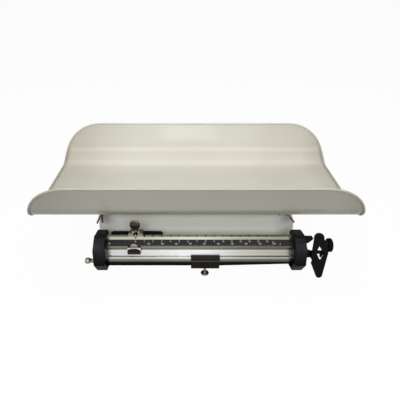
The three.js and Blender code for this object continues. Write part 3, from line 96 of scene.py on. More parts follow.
@dataclass(frozen=True)
class Finish:
    """A finish with slow mottling, fine grain and changing gloss, all from noise in the piece's own space.

    Its height ramp holds pairs of a height in millimetres and a share of its colour: painted shade,
    highlights and reflections that make the finish brighter or duller from one height to the next.
    Its ramp along X does the same along X, and its reach does it along Y. A low share is a little
    warmer. Its notch share is the share on faces that look along X, painted shade in the sides of a notch.

    These painted bands stand for shade, highlights and reflections seen from the front. They are fixed
    to the piece and do not follow the lights, so the metals look banded from other sides or in other light.
    """

    name: str
    slot: str
    color: Color
    roughness: float
    metallic: float = 0.0
    coat: float = 0.0
    coat_roughness: float = 0.08
    specular: float = 0.5
    mottle: float = 0.04
    mottle_scale: float = 20.0
    gloss_change: float = 0.05
    grain_scale: float = 1500.0
    grain_depth: float = 0.00001
    wave_scale: float = 10.0
    wave_depth: float = 0.0
    stretch: tuple[float, float, float] = (1.0, 1.0, 1.0)
    # Painted shade, highlights and reflections along Z, X and Y, and painted shade on notch sides.
    tones: tuple[Point, ...] = ()
    spread: tuple[Point, ...] = ()
    reach: tuple[Point, ...] = ()
    warmth: Point = (1.08, 1.2)
    flank: float = 1.0

    def material(self) -> bpy.types.Material:
        """Returns the finish's material, made on first use.

        Returns:
            The Blender material, shared by every piece with this finish.
        """
        known = bpy.data.materials.get(self.name)
        if known:
            return known
        material = bpy.data.materials.new(self.name)
        material.use_nodes = True
        tree = material.node_tree
        shader = tree.nodes["Principled BSDF"]
        shader.inputs["Metallic"].default_value = self.metallic
        shader.inputs["Coat Weight"].default_value = self.coat
        shader.inputs["Coat Roughness"].default_value = self.coat_roughness
        shader.inputs["Specular IOR Level"].default_value = self.specular
        place = tree.nodes.new("ShaderNodeTexCoord")
        stretch = tree.nodes.new("ShaderNodeMapping")
        stretch.inputs["Scale"].default_value = self.stretch
        tree.links.new(place.outputs["Object"], stretch.inputs["Vector"])
        self.add_color(tree, shader, stretch, place)
        self.add_gloss(tree, shader, stretch)
        self.add_relief(tree, shader, stretch, place)
        return material

    def noise(
        self, tree: bpy.types.NodeTree, source: bpy.types.NodeSocket, scale: float, detail: float = 3.0
    ) -> bpy.types.Node:
        """Adds a noise texture.

        Args:
            tree: The material's node tree.
            source: The socket that gives the place.
            scale: The noise's scale, in features per metre.
            detail: The number of finer layers.

        Returns:
            The noise node.
        """
        node = tree.nodes.new("ShaderNodeTexNoise")
        node.inputs["Scale"].default_value = scale
        node.inputs["Detail"].default_value = detail
        tree.links.new(source, node.inputs["Vector"])
        return node

    def add_color(
        self, tree: bpy.types.NodeTree, shader: bpy.types.Node, stretch: bpy.types.Node, place: bpy.types.Node
    ) -> None:
        """Adds the slow change of colour, with the painted shade, highlights and reflections multiplied in.

        Args:
            tree: The material's node tree.
            shader: The surface shader.
            stretch: The node that gives the stretched place.
            place: The node that gives the plain place.
        """
        noise = self.noise(tree, stretch.outputs["Vector"], self.mottle_scale)
        ramp = tree.nodes.new("ShaderNodeValToRGB")
        ramp.color_ramp.elements[0].position = 0.3
        ramp.color_ramp.elements[1].position = 0.7
        for element, change in zip(ramp.color_ramp.elements, (-self.mottle, self.mottle)):
            element.color = tuple(max(0.0, c * (1 + change)) for c in self.color) + (1.0,)
        tree.links.new(noise.outputs["Fac"], ramp.inputs["Fac"])
        color = ramp.outputs["Color"]
        # Painted shade, highlights and reflections, multiplied in as ramps along Z, X and Y.
        for axis, pairs in (("Z", self.tones), ("X", self.spread), ("Y", self.reach)):
            if pairs:
                mix = tree.nodes.new("ShaderNodeMix")
                mix.data_type, mix.blend_type = "RGBA", "MULTIPLY"
                mix.inputs["Factor"].default_value = 1.0
                tree.links.new(color, mix.inputs["A"])
                tree.links.new(self.add_tones(tree, place, axis, pairs), mix.inputs["B"])
                color = mix.outputs["Result"]
        # Painted shade on faces that look along X, such as notch sides.
        if self.flank < 1.0:
            color = self.add_flank(tree, color)
        tree.links.new(color, shader.inputs["Base Color"])

    def add_flank(self, tree: bpy.types.NodeTree, color: bpy.types.NodeSocket) -> bpy.types.NodeSocket:
        """Darkens the faces that look along X: painted shade in the sides of notches.

        Args:
            tree: The material's node tree.
            color: The socket with the colour so far.

        Returns:
            The socket with the changed colour.
        """
        surface = tree.nodes.new("ShaderNodeNewGeometry")
        split = tree.nodes.new("ShaderNodeSeparateXYZ")
        tree.links.new(surface.outputs["True Normal"], split.inputs["Vector"])
        across = tree.nodes.new("ShaderNodeMath")
        across.operation = "ABSOLUTE"
        tree.links.new(split.outputs["X"], across.inputs[0])
        side = tree.nodes.new("ShaderNodeMath")
        side.operation = "GREATER_THAN"
        side.inputs[1].default_value = 0.4
        tree.links.new(across.outputs["Value"], side.inputs[0])
        mix = tree.nodes.new("ShaderNodeMix")
        mix.data_type, mix.blend_type = "RGBA", "MULTIPLY"
        mix.inputs["B"].default_value = (self.flank, self.flank, self.flank, 1.0)
        tree.links.new(side.outputs["Value"], mix.inputs["Factor"])
        tree.links.new(color, mix.inputs["A"])
        return mix.outputs["Result"]

    def add_tones(
        self, tree: bpy.types.NodeTree, place: bpy.types.Node, axis: str, pairs: Sequence[Point]
    ) -> bpy.types.NodeSocket:
        """Adds a ramp of painted light and shade along an axis.

        Args:
            tree: The material's node tree.
            place: The node that gives the plain place.
            axis: The axis's letter.
            pairs: Pairs of a place along it in millimetres and a share of the colour.

        Returns:
            The socket with the ramp's share of the colour.
        """
        split = tree.nodes.new("ShaderNodeSeparateXYZ")
        tree.links.new(place.outputs["Object"], split.inputs["Vector"])
        low, high = pairs[0][0], pairs[-1][0]
        share = tree.nodes.new("ShaderNodeMapRange")
        share.inputs["From Min"].default_value = low * MM
        share.inputs["From Max"].default_value = high * MM
        tree.links.new(split.outputs[axis], share.inputs["Value"])
        ramp = tree.nodes.new("ShaderNodeValToRGB")
        elements = ramp.color_ramp.elements
        for along, _ in pairs[1:-1]:
            elements.new((along - low) / (high - low))
        for element, (_, tone) in zip(elements, pairs):
            element.color = (tone, tone ** self.warmth[0], tone ** self.warmth[1], 1.0)
        tree.links.new(share.outputs["Result"], ramp.inputs["Fac"])
        return ramp.outputs["Color"]

    def add_gloss(self, tree: bpy.types.NodeTree, shader: bpy.types.Node, stretch: bpy.types.Node) -> None:
        """Adds the change of gloss.

        Args:
            tree: The material's node tree.
            shader: The surface shader.
            stretch: The node that gives the place.
        """
        noise = self.noise(tree, stretch.outputs["Vector"], self.mottle_scale * 3.1)
        change = tree.nodes.new("ShaderNodeMapRange")
        change.inputs["From Min"].default_value = 0.3
        change.inputs["From Max"].default_value = 0.7
        change.inputs["To Min"].default_value = max(0.02, self.roughness - self.gloss_change)
        change.inputs["To Max"].default_value = self.roughness + self.gloss_change
        tree.links.new(noise.outputs["Fac"], change.inputs["Value"])
        tree.links.new(change.outputs["Result"], shader.inputs["Roughness"])

    def add_relief(
        self, tree: bpy.types.NodeTree, shader: bpy.types.Node, stretch: bpy.types.Node, place: bpy.types.Node
    ) -> None:
        """Adds the fine grain, and the slow waves of pressed sheet where the finish has them.

        Args:
            tree: The material's node tree.
            shader: The surface shader.
            stretch: The node that gives the stretched place.
            place: The node that gives the plain place.
        """
        grain = self.noise(tree, stretch.outputs["Vector"], self.grain_scale, 2.0)
        bump = tree.nodes.new("ShaderNodeBump")
        bump.inputs["Distance"].default_value = self.grain_depth
        tree.links.new(grain.outputs["Fac"], bump.inputs["Height"])
        if self.wave_depth:
            wave = self.noise(tree, place.outputs["Object"], self.wave_scale, 0.0)
            slow = tree.nodes.new("ShaderNodeBump")
            slow.inputs["Distance"].default_value = self.wave_depth
            tree.links.new(wave.outputs["Fac"], slow.inputs["Height"])
            tree.links.new(slow.outputs["Normal"], bump.inputs["Normal"])
        tree.links.new(bump.outputs["Normal"], shader.inputs["Normal"])


# Painted shade: the bend and walls darker in bands by height, the ends darker along X and the outer front
# wall darker along Y.
TRAY_ENAMEL = Finish(
    "tray_enamel", "cream_paint", (0.775, 0.765, 0.68), 0.4, coat=0.4, coat_roughness=0.12, specular=0.2,
    mottle=0.025, mottle_scale=9.0, grain_scale=700.0, grain_depth=0.00002, wave_scale=7.0, wave_depth=0.0006,
    tones=(
        (117.0, 0.97), (121.0, 0.95), (126.0, 0.82), (134.0, 0.82), (140.0, 0.87), (145.0, 0.95),
        (150.0, 0.96), (160.0, 0.96), (172.0, 0.93), (195.0, 0.93),
    ),
    spread=(
        (-275.0, 0.5), (-264.0, 0.72), (-190.0, 0.9), (-130.0, 0.98), (-70.0, 0.98), (20.0, 0.96),
        (110.0, 0.95), (190.0, 0.89), (225.0, 0.86), (264.0, 0.7), (275.0, 0.52),
    ),
    reach=(
        (-120.0, 0.78), (-92.0, 0.78), (-72.0, 1.0), (-20.0, 0.99), (20.0, 0.96), (60.0, 0.9),
        (90.0, 0.92), (100.0, 0.98), (150.0, 1.0),
    ),
)
# Painted shade: darker in a band by height across the front fillet and slightly darker at the top, evening
# out how the lamps light it.
COVER_ENAMEL = Finish(
    "cover_enamel", "cream_paint", (0.80, 0.815, 0.75), 0.42, coat=0.1, coat_roughness=0.15, specular=0.2,
    mottle=0.03, mottle_scale=12.0, grain_scale=800.0, grain_depth=0.00002, wave_scale=9.0, wave_depth=0.0004,
    tones=(
        (6.0, 0.95), (68.0, 1.0), (76.0, 1.0), (79.0, 0.92), (83.0, 0.75), (87.0, 0.71), (90.0, 0.78),
        (93.0, 1.0), (96.5, 1.0), (98.0, 0.88), (104.0, 0.88),
    ),
    warmth=(1.0, 1.04),
)
# Painted reflections and shade: the belly and the ridge darker in bands by height, the beam darker towards
# the end caps, and notch sides nearly black.
ALUMINIUM = Finish(
    "brushed_aluminium", "aluminium", (0.86, 0.86, 0.85), 0.24, metallic=0.85,
    mottle=0.05, mottle_scale=160.0, gloss_change=0.06, grain_scale=2600.0, grain_depth=0.000004,
    stretch=(0.02, 1.0, 1.0),
    tones=(
        (48.5, 0.1), (51.0, 0.12), (54.0, 0.24), (57.0, 0.36), (58.6, 0.8), (61.2, 1.0), (63.0, 1.0),
        (73.8, 1.0), (75.2, 0.3), (78.4, 0.24), (79.2, 0.18), (80.6, 0.12), (85.6, 0.17), (87.3, 0.26),
        (89.6, 0.27), (91.6, 0.26),
    ),
    spread=(
        (-152.0, 0.74), (-80.0, 0.82), (-25.0, 1.0), (15.0, 1.0), (75.0, 0.66), (130.0, 0.52), (165.0, 0.48),
    ),
    warmth=(1.02, 1.15), flank=0.05,
)
# Painted light and shade on the end caps: lighter upper facets and darker lower ones, in bands by height.
BLACK_PLASTIC = Finish(
    "black_moulding", "black_plastic", (0.038, 0.039, 0.041), 0.45, specular=0.03,
    mottle=0.15, mottle_scale=60.0, gloss_change=0.07, grain_scale=2200.0, grain_depth=0.00003,
    tones=(
        (32.0, 0.05), (62.0, 0.08), (74.0, 0.3), (80.0, 0.4), (84.0, 0.5), (89.0, 0.6), (92.0, 0.7),
        (95.0, 0.48), (98.0, 0.5), (99.0, 0.25), (100.8, 0.12),
    ),
    warmth=(1.0, 1.0),
)
DULL_BLACK = Finish(
    "dull_black", "black_plastic", (0.0025, 0.0027, 0.003), 0.5, specular=0.045,
    mottle=0.2, mottle_scale=60.0, gloss_change=0.07, grain_scale=2200.0, grain_depth=0.00003,
)
# Nearly black, with a painted highlight along the shoulder between the block's front faces, from bands by
# height.
TARE_PLASTIC = Finish(
    "tare_plastic", "black_plastic", (0.26, 0.27, 0.3), 0.45, specular=0.06,
    mottle=0.15, mottle_scale=60.0, gloss_change=0.07, grain_scale=2200.0, grain_depth=0.00003,
    tones=(
        (36.6, 0.01), (53.5, 0.02), (55.0, 0.07), (55.7, 0.4), (56.7, 0.4), (57.6, 0.09), (62.8, 0.06),
        (63.8, 0.06),
    ),
)
BLACK_ENAMEL = Finish(
    "black_enamel", "black_paint", (0.006, 0.0064, 0.007), 0.36, specular=0.12,
    mottle=0.15, mottle_scale=50.0, gloss_change=0.06, grain_scale=1400.0, grain_depth=0.00002,
)
RAIL_ENAMEL = Finish(
    "rail_enamel", "black_paint", (0.06, 0.055, 0.046), 0.45, specular=0.3,
    mottle=0.15, mottle_scale=50.0, gloss_change=0.06, grain_scale=1400.0, grain_depth=0.00002,
)
STRIP_PAINT = Finish(
    "strip_paint", "black_paint", (0.011, 0.0112, 0.0115), 0.42, specular=0.18,
    mottle=0.18, mottle_scale=120.0, gloss_change=0.08, grain_scale=2600.0, grain_depth=0.00001,
)
MARK_PAINT = Finish(
    "mark_paint", "cream_paint", (0.5, 0.48, 0.44), 0.5, specular=0.3,
    mottle=0.05, mottle_scale=300.0, grain_scale=3000.0, grain_depth=0.00001,
)
# Painted reflections: bright and dark bands by height on the handle's stem and disc and on the small weight.
CHROME = Finish(
    "chrome_painted_reflections", "chrome", (0.62, 0.59, 0.54), 0.12, metallic=1.0,
    mottle=0.05, mottle_scale=120.0, gloss_change=0.04, grain_scale=1800.0, grain_depth=0.000002,
    tones=(
        (69.8, 0.07), (74.5, 0.055), (77.8, 0.07), (78.6, 0.6), (80.7, 0.65), (80.95, 0.12), (88.0, 0.05),
        (91.0, 0.06), (93.0, 0.3), (102.5, 0.28), (104.0, 0.035), (111.0, 0.03), (112.2, 0.09),
        (117.5, 0.1), (119.6, 0.16), (121.0, 0.3),
    ),
)
CARRIAGE_PLATE = Finish(
    "carriage_plate", "chrome", (0.42, 0.41, 0.37), 0.28, metallic=1.0,
    mottle=0.08, mottle_scale=140.0, gloss_change=0.06, grain_scale=1800.0, grain_depth=0.000004,
)
# A painted dark reflection for the small weight's front, lighter towards its foot in bands by height.
PAINTED_REFLECTION_FINISH = Finish(
    "painted_dark_reflection", "chrome", (0.05, 0.05, 0.046), 0.3, metallic=1.0,
    mottle=0.1, mottle_scale=140.0, gloss_change=0.06, grain_scale=1800.0, grain_depth=0.000004,
    tones=((69.8, 1.0), (73.0, 0.8), (75.0, 0.4), (82.5, 0.4)),
)
NICKEL = Finish(
    "turned_nickel", "nickel", (0.24, 0.225, 0.19), 0.3, metallic=1.0,
    mottle=0.1, mottle_scale=150.0, gloss_change=0.07, grain_scale=2400.0, grain_depth=0.000006,
)
DULL_NICKEL = Finish(
    "dull_nickel", "nickel", (0.15, 0.13, 0.1), 0.34, metallic=1.0,
    mottle=0.12, mottle_scale=150.0, gloss_change=0.07, grain_scale=2400.0, grain_depth=0.000006,
)
TAB_NICKEL = Finish(
    "tab_nickel", "nickel", (0.5, 0.5, 0.47), 0.5, metallic=0.6,
    mottle=0.1, mottle_scale=150.0, gloss_change=0.07, grain_scale=2400.0, grain_depth=0.000006,
)
DARK_SCREW = Finish(
    "blackened_screw", "nickel", (0.10, 0.10, 0.105), 0.35, metallic=1.0,
    mottle=0.2, mottle_scale=400.0, grain_scale=2400.0, grain_depth=0.00001,
)
STEEL = Finish(
    "zinc_steel", "steel", (0.42, 0.425, 0.43), 0.42, metallic=1.0,
    mottle=0.16, mottle_scale=90.0, gloss_change=0.1, grain_scale=900.0, grain_depth=0.00001,
)
RUBBER = Finish(
    "foot_rubber", "rubber", (0.02, 0.02, 0.02), 0.8, specular=0.3,
    mottle=0.25, mottle_scale=120.0, grain_scale=1600.0, grain_depth=0.00005,
)


class Meshes:
    """Mesh tools in millimetres, shared by every sub-assembly."""

    @staticmethod
    def raw(name: str, points: Sequence[Sequence[float]], faces: Sequence[Sequence[int]]) -> bpy.types.Object:
        """Makes an object from points in millimetres.

        Args:
            name: The object's name.
            points: The vertices.
            faces: The faces, as lists of vertex numbers.

        Returns:
            The new object, linked to the scene.
        """
        mesh = bpy.data.meshes.new(name)
        mesh.from_pydata([Vector(p) * MM for p in points], [], [list(f) for f in faces])
        mesh.validate()
        piece = bpy.data.objects.new(name, mesh)
        bpy.context.scene.collection.objects.link(piece)
        return piece

    @staticmethod
    def applied(piece: bpy.types.Object) -> bpy.types.Object:
        """Turns a piece's modifiers into plain mesh.

        Args:
            piece: The object with modifiers.

        Returns:
            The same object, without them.
        """
        bpy.context.view_layer.update()
        graph = bpy.context.evaluated_depsgraph_get()
        mesh = bpy.data.meshes.new_from_object(piece.evaluated_get(graph))
        piece.modifiers.clear()
        old = piece.data
        piece.data = mesh
        bpy.data.meshes.remove(old)
        mesh.name = piece.name
        return piece

    @staticmethod
    def clean(piece: bpy.types.Object, outward: bool = True) -> bpy.types.Object:
        """Welds a mesh's equal points, joins its flat faces and turns its faces out.

        Args:
            piece: The object to clean.
            outward: Whether to turn the faces out.

        Returns:
            The same object.
        """
        work = bmesh.new()
        work.from_mesh(piece.data)
        bmesh.ops.remove_doubles(work, verts=work.verts, dist=2e-6)
        bmesh.ops.dissolve_limit(
            work, angle_limit=math.radians(0.6), use_dissolve_boundaries=False,
            verts=work.verts, edges=work.edges, delimit=set(),
        )
        if outward:
            bmesh.ops.recalc_face_normals(work, faces=work.faces)
        work.to_mesh(piece.data)
        work.free()
        return piece

    @staticmethod
    def softened(
        piece: bpy.types.Object, width: float, segments: int = 2, sharp: float = 28.0
    ) -> bpy.types.Object:
        """Breaks a piece's sharp edges and shades it with flat faces kept flat.

        Args:
            piece: The object to soften.
            width: The width of the broken edge, in millimetres.
            segments: The steps across it.
            sharp: The least angle of an edge that is broken, in degrees.

        Returns:
            The same object.
        """
        for polygon in piece.data.polygons:
            polygon.use_smooth = True
        if width:
            bevel = piece.modifiers.new("edges", "BEVEL")
            bevel.width = width * MM
            bevel.segments = segments
            bevel.limit_method = "ANGLE"
            bevel.angle_limit = math.radians(sharp)
            bevel.use_clamp_overlap = True
        flat = piece.modifiers.new("normals", "WEIGHTED_NORMAL")
        flat.keep_sharp = True
        flat.weight = 60
        return Meshes.applied(piece)

    @staticmethod
    def cut(piece: bpy.types.Object, *tools: bpy.types.Object) -> bpy.types.Object:
        """Cuts tools out of a piece, and deletes the tools.

        Args:
            piece: The object that is cut.
            *tools: The objects that are taken away from it.

        Returns:
            The cut object.
        """
        for tool in tools:
            difference = piece.modifiers.new("cut", "BOOLEAN")
            difference.operation = "DIFFERENCE"
            difference.solver = "EXACT"
            difference.object = tool
        Meshes.applied(piece)
        for tool in tools:
            bpy.data.objects.remove(tool)
        return piece

    @staticmethod
    def fused(piece: bpy.types.Object, *others: bpy.types.Object) -> bpy.types.Object:
        """Joins other objects' meshes into a piece, and deletes the others.

        Args:
            piece: The object that takes the meshes.
            *others: The objects that are joined.

        Returns:
            The joined object.
        """
        work = bmesh.new()
        work.from_mesh(piece.data)
        for other in others:
            work.from_mesh(other.data)
            bpy.data.objects.remove(other)
        work.to_mesh(piece.data)
        work.free()
        return piece

    @staticmethod
    def smooth(piece: bpy.types.Object) -> bpy.types.Object:
        """Shades a rounded piece smooth.

        Args:
            piece: The object to shade.

        Returns:
            The same object.
        """
        for polygon in piece.data.polygons:
            polygon.use_smooth = True
        return piece

    @staticmethod
    def lathe(
        name: str, profile: Sequence[Point], axis: Axis, middle: Sequence[float], sides: int = 48,
        ripple: Callable[[float, float, float], float] | None = None,
    ) -> bpy.types.Object:
        """Turns a profile about an axis.

        Args:
            name: The object's name.
            profile: Pairs of radius and place along the axis, from axis to axis.
            axis: The axis's direction.
            middle: A point of the axis, from which the profile's places count.
            sides: The steps round the axis.
            ripple: A change of the radius, from radius, place along the axis and angle.

        Returns:
            The turned object.
        """
        points: list[Vector] = []
        rows: list[list[int]] = []
        for radius, along in profile:
            row = []
            steps = 1 if radius < 1e-6 else sides
            for k in range(steps):
                angle = 2 * math.pi * k / sides
                reach = radius + (ripple(radius, along, angle) if ripple and steps > 1 else 0)
                row.append(len(points))
                points.append(Vector((reach * math.cos(angle), reach * math.sin(angle), along)))
            rows.append(row)
        faces = []
        for low, high in zip(rows, rows[1:]):
            for k in range(sides):
                m = (k + 1) % sides
                ring = [low[k % len(low)], low[m % len(low)], high[m % len(high)], high[k % len(high)]]
                face = list(dict.fromkeys(ring))
                if len(face) > 2:
                    faces.append(face)
        turn = {
            Axis.X: Matrix.Rotation(math.pi / 2, 4, "Y"),
            Axis.Y: Matrix.Rotation(-math.pi / 2, 4, "X"),
            Axis.Z: Matrix.Identity(4),
        }[axis]
        place = Matrix.Translation(Vector(middle)) @ turn
        return Meshes.clean_turned(Meshes.raw(name, [place @ p for p in points], faces))

    @staticmethod
    def clean_turned(piece: bpy.types.Object) -> bpy.types.Object:
        """Turns a lathed piece's faces out.

        Args:
            piece: The turned object.

        Returns:
            The same object.
        """
        work = bmesh.new()
        work.from_mesh(piece.data)
        bmesh.ops.recalc_face_normals(work, faces=work.faces)
        work.to_mesh(piece.data)
        work.free()
        return piece

    @staticmethod
    def prism(
        name: str, section: Sequence[Point], low: float, high: float,
        place: Callable[[float, float, float], Vector],
    ) -> bpy.types.Object:
        """Extrudes a closed section.

        Args:
            name: The object's name.
            section: The corners of the section.
            low: The start of the extrusion.
            high: Its end.
            place: Gives a point from the section's two values and the place along it.

        Returns:
            The extruded object, with its faces out.
        """
        count = len(section)
        points = [place(a, b, t) for t in (low, high) for a, b in section]
        faces = [[k, (k + 1) % count, (k + 1) % count + count, k + count] for k in range(count)]
        faces += [list(range(count))[::-1], list(range(count, 2 * count))]
        return Meshes.clean_turned(Meshes.raw(name, points, faces))

    @staticmethod
    def tube(
        name: str, path: Sequence[Sequence[float]], radius: float, sides: int = 16, closed: bool = False,
    ) -> bpy.types.Object:
        """Makes a round tube along a path, with domed ends where it is open.

        Args:
            name: The object's name.
            path: The points of the path.
            radius: The tube's radius.
            sides: The steps round it.
            closed: Whether the path closes on itself.

        Returns:
            The tube.
        """
        line = [Vector(p) for p in path]
        count = len(line)
        normal = None
        points: list[Vector] = []
        sizes = [1.0] * count
        if not closed:
            steps = 4
            start, end = line[0], line[-1]
            back, ahead = (line[0] - line[1]).normalized(), (line[-1] - line[-2]).normalized()
            turns = [k * math.pi / 2 / steps for k in range(1, steps + 1)]
            head = [(start + back * radius * math.sin(t), math.cos(t)) for t in turns][::-1]
            tail = [(end + ahead * radius * math.sin(t), math.cos(t)) for t in turns]
            sizes = [s for _, s in head] + sizes + [s for _, s in tail]
            line = [p for p, _ in head] + line + [p for p, _ in tail]
            count = len(line)
        for i, point in enumerate(line):
            before = line[i - 1] if closed or i > 0 else point
            after = line[(i + 1) % count] if closed or i < count - 1 else point
            along = (after - before).normalized()
            if normal is None:
                helper = Vector((0, 0, 1)) if abs(along.z) < 0.9 else Vector((1, 0, 0))
                normal = along.cross(helper).normalized()
            normal = (normal - along * normal.dot(along)).normalized()
            other = along.cross(normal)
            for k in range(sides):
                turn = 2 * math.pi * k / sides
                reach = radius * max(sizes[i], 0.02)
                points.append(point + (normal * math.cos(turn) + other * math.sin(turn)) * reach)
        faces = []
        for i in range(count if closed else count - 1):
            here, there = i * sides, ((i + 1) % count) * sides
            for k in range(sides):
                m = (k + 1) % sides
                faces.append([here + k, here + m, there + m, there + k])
        if not closed:
            faces.append(list(range(sides))[::-1])
            faces.append([(count - 1) * sides + k for k in range(sides)])
        return Meshes.smooth(Meshes.clean_turned(Meshes.raw(name, points, faces)))


@dataclass
class Workshop:
    """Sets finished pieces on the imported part's bodies, and keeps the count for the log."""

    frame: dict
    made: int = 0

    def box(self, node: str) -> tuple[Vector, Vector]:
        """Gives a node's lowest and highest corner in millimetres.

        Args:
            node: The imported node's name.

        Returns:
            The two corners.
        """
        low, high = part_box(node)
        return Vector(low) / MM, Vector(high) / MM

    def middle(self, node: str) -> Vector:
        """Gives the middle of a node's box in millimetres."""
        low, high = self.box(node)
        return (low + high) / 2

    def body_of(self, node: str) -> str:
        """Gives the body that holds a node.

        Args:
            node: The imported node's name.

        Returns:
            The body's name.
        """
        bodies = self.frame["record"]["behaviour"]["bodies"]
        return next(body for body, members in bodies.items() if node in members)

    def seat(self, piece: bpy.types.Object, finish: Finish, *nodes: str, body: str | None = None) -> None:
        """Dresses a piece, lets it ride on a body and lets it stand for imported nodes.

        Args:
            piece: The new object.
            finish: Its finish.
            *nodes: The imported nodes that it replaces.
            body: The body it rides on, where it replaces none.
        """
        piece.data.materials.clear()
        piece.data.materials.append(finish.material())
        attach(piece, body or self.body_of(nodes[0]))
        if nodes:
            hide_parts(*nodes)
        self.made += 1
        LOG.info("%s: %d faces, %s", piece.name, len(piece.data.polygons), finish.name)

    def refine(
        self, node: str, finish: Finish, width: float, segments: int = 2, sharp: float = 28.0
    ) -> bpy.types.Object:
        """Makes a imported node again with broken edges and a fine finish, in place of the node.

        Args:
            node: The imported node's name.
            finish: The finish.
            width: The width of the broken edges, in millimetres.
            segments: The steps across them.
            sharp: The least angle of an edge that is broken, in degrees.

        Returns:
            The new object.
        """
        source = self.frame["nodes"][node]
        piece = bpy.data.objects.new(f"fine_{node}", source.data.copy())
        bpy.context.scene.collection.objects.link(piece)
        Meshes.clean(piece, outward=False)
        Meshes.softened(piece, width, segments, sharp)
        self.seat(piece, finish, node)
        return piece


@dataclass
class Studio:
    """The camera at the photograph's angle, a pale floor and soft lamps."""

    camera_place: tuple[float, float, float] = (-12.4, -569.34, 476.7)
    camera_pitch: float = 56.4
    lens: float = 32.45
    sensor: float = 36.0
    axis_pixel: float = 188.5
    frame_pixels: float = 400.0
    floor_size: float = 30000.0
    even_light: float = 0.04
    world_color: Color = (1.0, 0.99, 0.965)
    top_power: float = 21.0
    camera_power: float = 20.0
    low_power: float = 1.6
    floor_glow: float = 0.96
    floor_color: Color = (0.95, 0.95, 0.95)
    floor_bounce: Color = (0.2, 0.2, 0.19)

    def build(self) -> None:
        """Sets up the camera, the world, the floor and the lamps."""
        bpy.context.scene.view_settings.view_transform = "Standard"
        self.add_camera()
        self.add_world()
        self.add_floor()
        self.add_lamp("top_lamp", (0, -100, 1600), (0, 0, 100), (2200, 1800), self.top_power)
        self.add_lamp("camera_lamp", (0, -1500, 1080), (0, 0, 100), (2000, 1000), self.camera_power)
        self.add_lamp("low_lamp", (-20, -1900, 470), (0, 100, 150), (420, 200), self.low_power)

    def add_camera(self) -> None:
        """Adds the camera."""
        data = bpy.data.cameras.new("camera")
        data.lens = self.lens
        data.sensor_width = self.sensor
        data.shift_x = (self.frame_pixels / 2 - self.axis_pixel) / self.frame_pixels
        camera = bpy.data.objects.new("camera", data)
        camera.location = Vector(self.camera_place) * MM
        camera.rotation_euler = (math.radians(self.camera_pitch), 0, 0)
        bpy.context.scene.collection.objects.link(camera)
        bpy.context.scene.camera = camera

    def seen_rays(self, tree: bpy.types.NodeTree) -> bpy.types.NodeSocket:
        """Adds a value of 1 for the rays that see the background.

        Args:
            tree: The node tree.

        Returns:
            The socket with the value.
        """
        path = tree.nodes.new("ShaderNodeLightPath")
        first = tree.nodes.new("ShaderNodeMath")
        first.operation = "MAXIMUM"
        tree.links.new(path.outputs["Is Camera Ray"], first.inputs[0])
        tree.links.new(path.outputs["Is Glossy Ray"], first.inputs[1])
        both = tree.nodes.new("ShaderNodeMath")
        both.operation = "MAXIMUM"
        tree.links.new(first.outputs["Value"], both.inputs[0])
        tree.links.new(path.outputs["Is Transmission Ray"], both.inputs[1])
        return both.outputs["Value"]

    def add_world(self) -> None:
        """Adds the world, white where it is seen and a faint even light elsewhere."""
        world = bpy.data.worlds.new("studio")
        world.use_nodes = True
        bpy.context.scene.world = world
        tree = world.node_tree
        light = tree.nodes["Background"]
        light.inputs["Color"].default_value = (*self.world_color, 1)
        light.inputs["Strength"].default_value = self.even_light
        white = tree.nodes.new("ShaderNodeBackground")
        white.inputs["Color"].default_value = (1, 1, 1, 1)
        mix = tree.nodes.new("ShaderNodeMixShader")
        tree.links.new(self.seen_rays(tree), mix.inputs["Fac"])
        tree.links.new(light.outputs["Background"], mix.inputs[1])
        tree.links.new(white.outputs["Background"], mix.inputs[2])
        tree.links.new(mix.outputs["Shader"], tree.nodes["World Output"].inputs["Surface"])

    def add_floor(self) -> None:
        """Adds the pale floor, which keeps a soft part of the object's shadow."""
        half = self.floor_size / 2
        corners = [(-half, -half, 0), (half, -half, 0), (half, half, 0), (-half, half, 0)]
        floor = Meshes.raw("floor", corners, [[0, 1, 2, 3]])
        material = bpy.data.materials.new("pale_floor")
        material.use_nodes = True
        tree = material.node_tree
        shader = tree.nodes["Principled BSDF"]
        shader.inputs["Roughness"].default_value = 0.9
        shader.inputs["Specular IOR Level"].default_value = 0.1
        seen = self.seen_rays(tree)
        paint = tree.nodes.new("ShaderNodeMix")
        paint.data_type = "RGBA"
        paint.inputs["A"].default_value = (*self.floor_bounce, 1)
        paint.inputs["B"].default_value = (*self.floor_color, 1)
        tree.links.new(seen, paint.inputs["Factor"])
        tree.links.new(paint.outputs["Result"], shader.inputs["Base Color"])
        glow = tree.nodes.new("ShaderNodeEmission")
        glow.inputs["Color"].default_value = (1, 1, 1, 1)
        share = tree.nodes.new("ShaderNodeMath")
        share.operation = "MULTIPLY"
        share.inputs[1].default_value = self.floor_glow
        tree.links.new(seen, share.inputs[0])
        mix = tree.nodes.new("ShaderNodeMixShader")
        tree.links.new(share.outputs["Value"], mix.inputs["Fac"])
        tree.links.new(shader.outputs["BSDF"], mix.inputs[1])
        tree.links.new(glow.outputs["Emission"], mix.inputs[2])
        tree.links.new(mix.outputs["Shader"], tree.nodes["Material Output"].inputs["Surface"])
        floor.data.materials.append(material)

    def add_lamp(
        self, name: str, place: tuple[float, float, float], aim: tuple[float, float, float],
        size: tuple[float, float], power: float,
    ) -> None:
        """Adds a soft rectangular lamp.

        Args:
            name: The lamp's name.
            place: Where it stands, in millimetres.
            aim: The point it faces.
            size: Its width and height, in millimetres.
            power: Its power in watts.
        """
        data = bpy.data.lights.new(name, "AREA")
        data.shape = "RECTANGLE"
        data.size, data.size_y = size[0] * MM, size[1] * MM
        data.energy = power
        lamp = bpy.data.objects.new(name, data)
        lamp.location = Vector(place) * MM
        direction = (Vector(aim) - Vector(place)).normalized()
        lamp.rotation_euler = direction.to_track_quat("-Z", "Y").to_euler()
        bpy.context.scene.collection.objects.link(lamp)


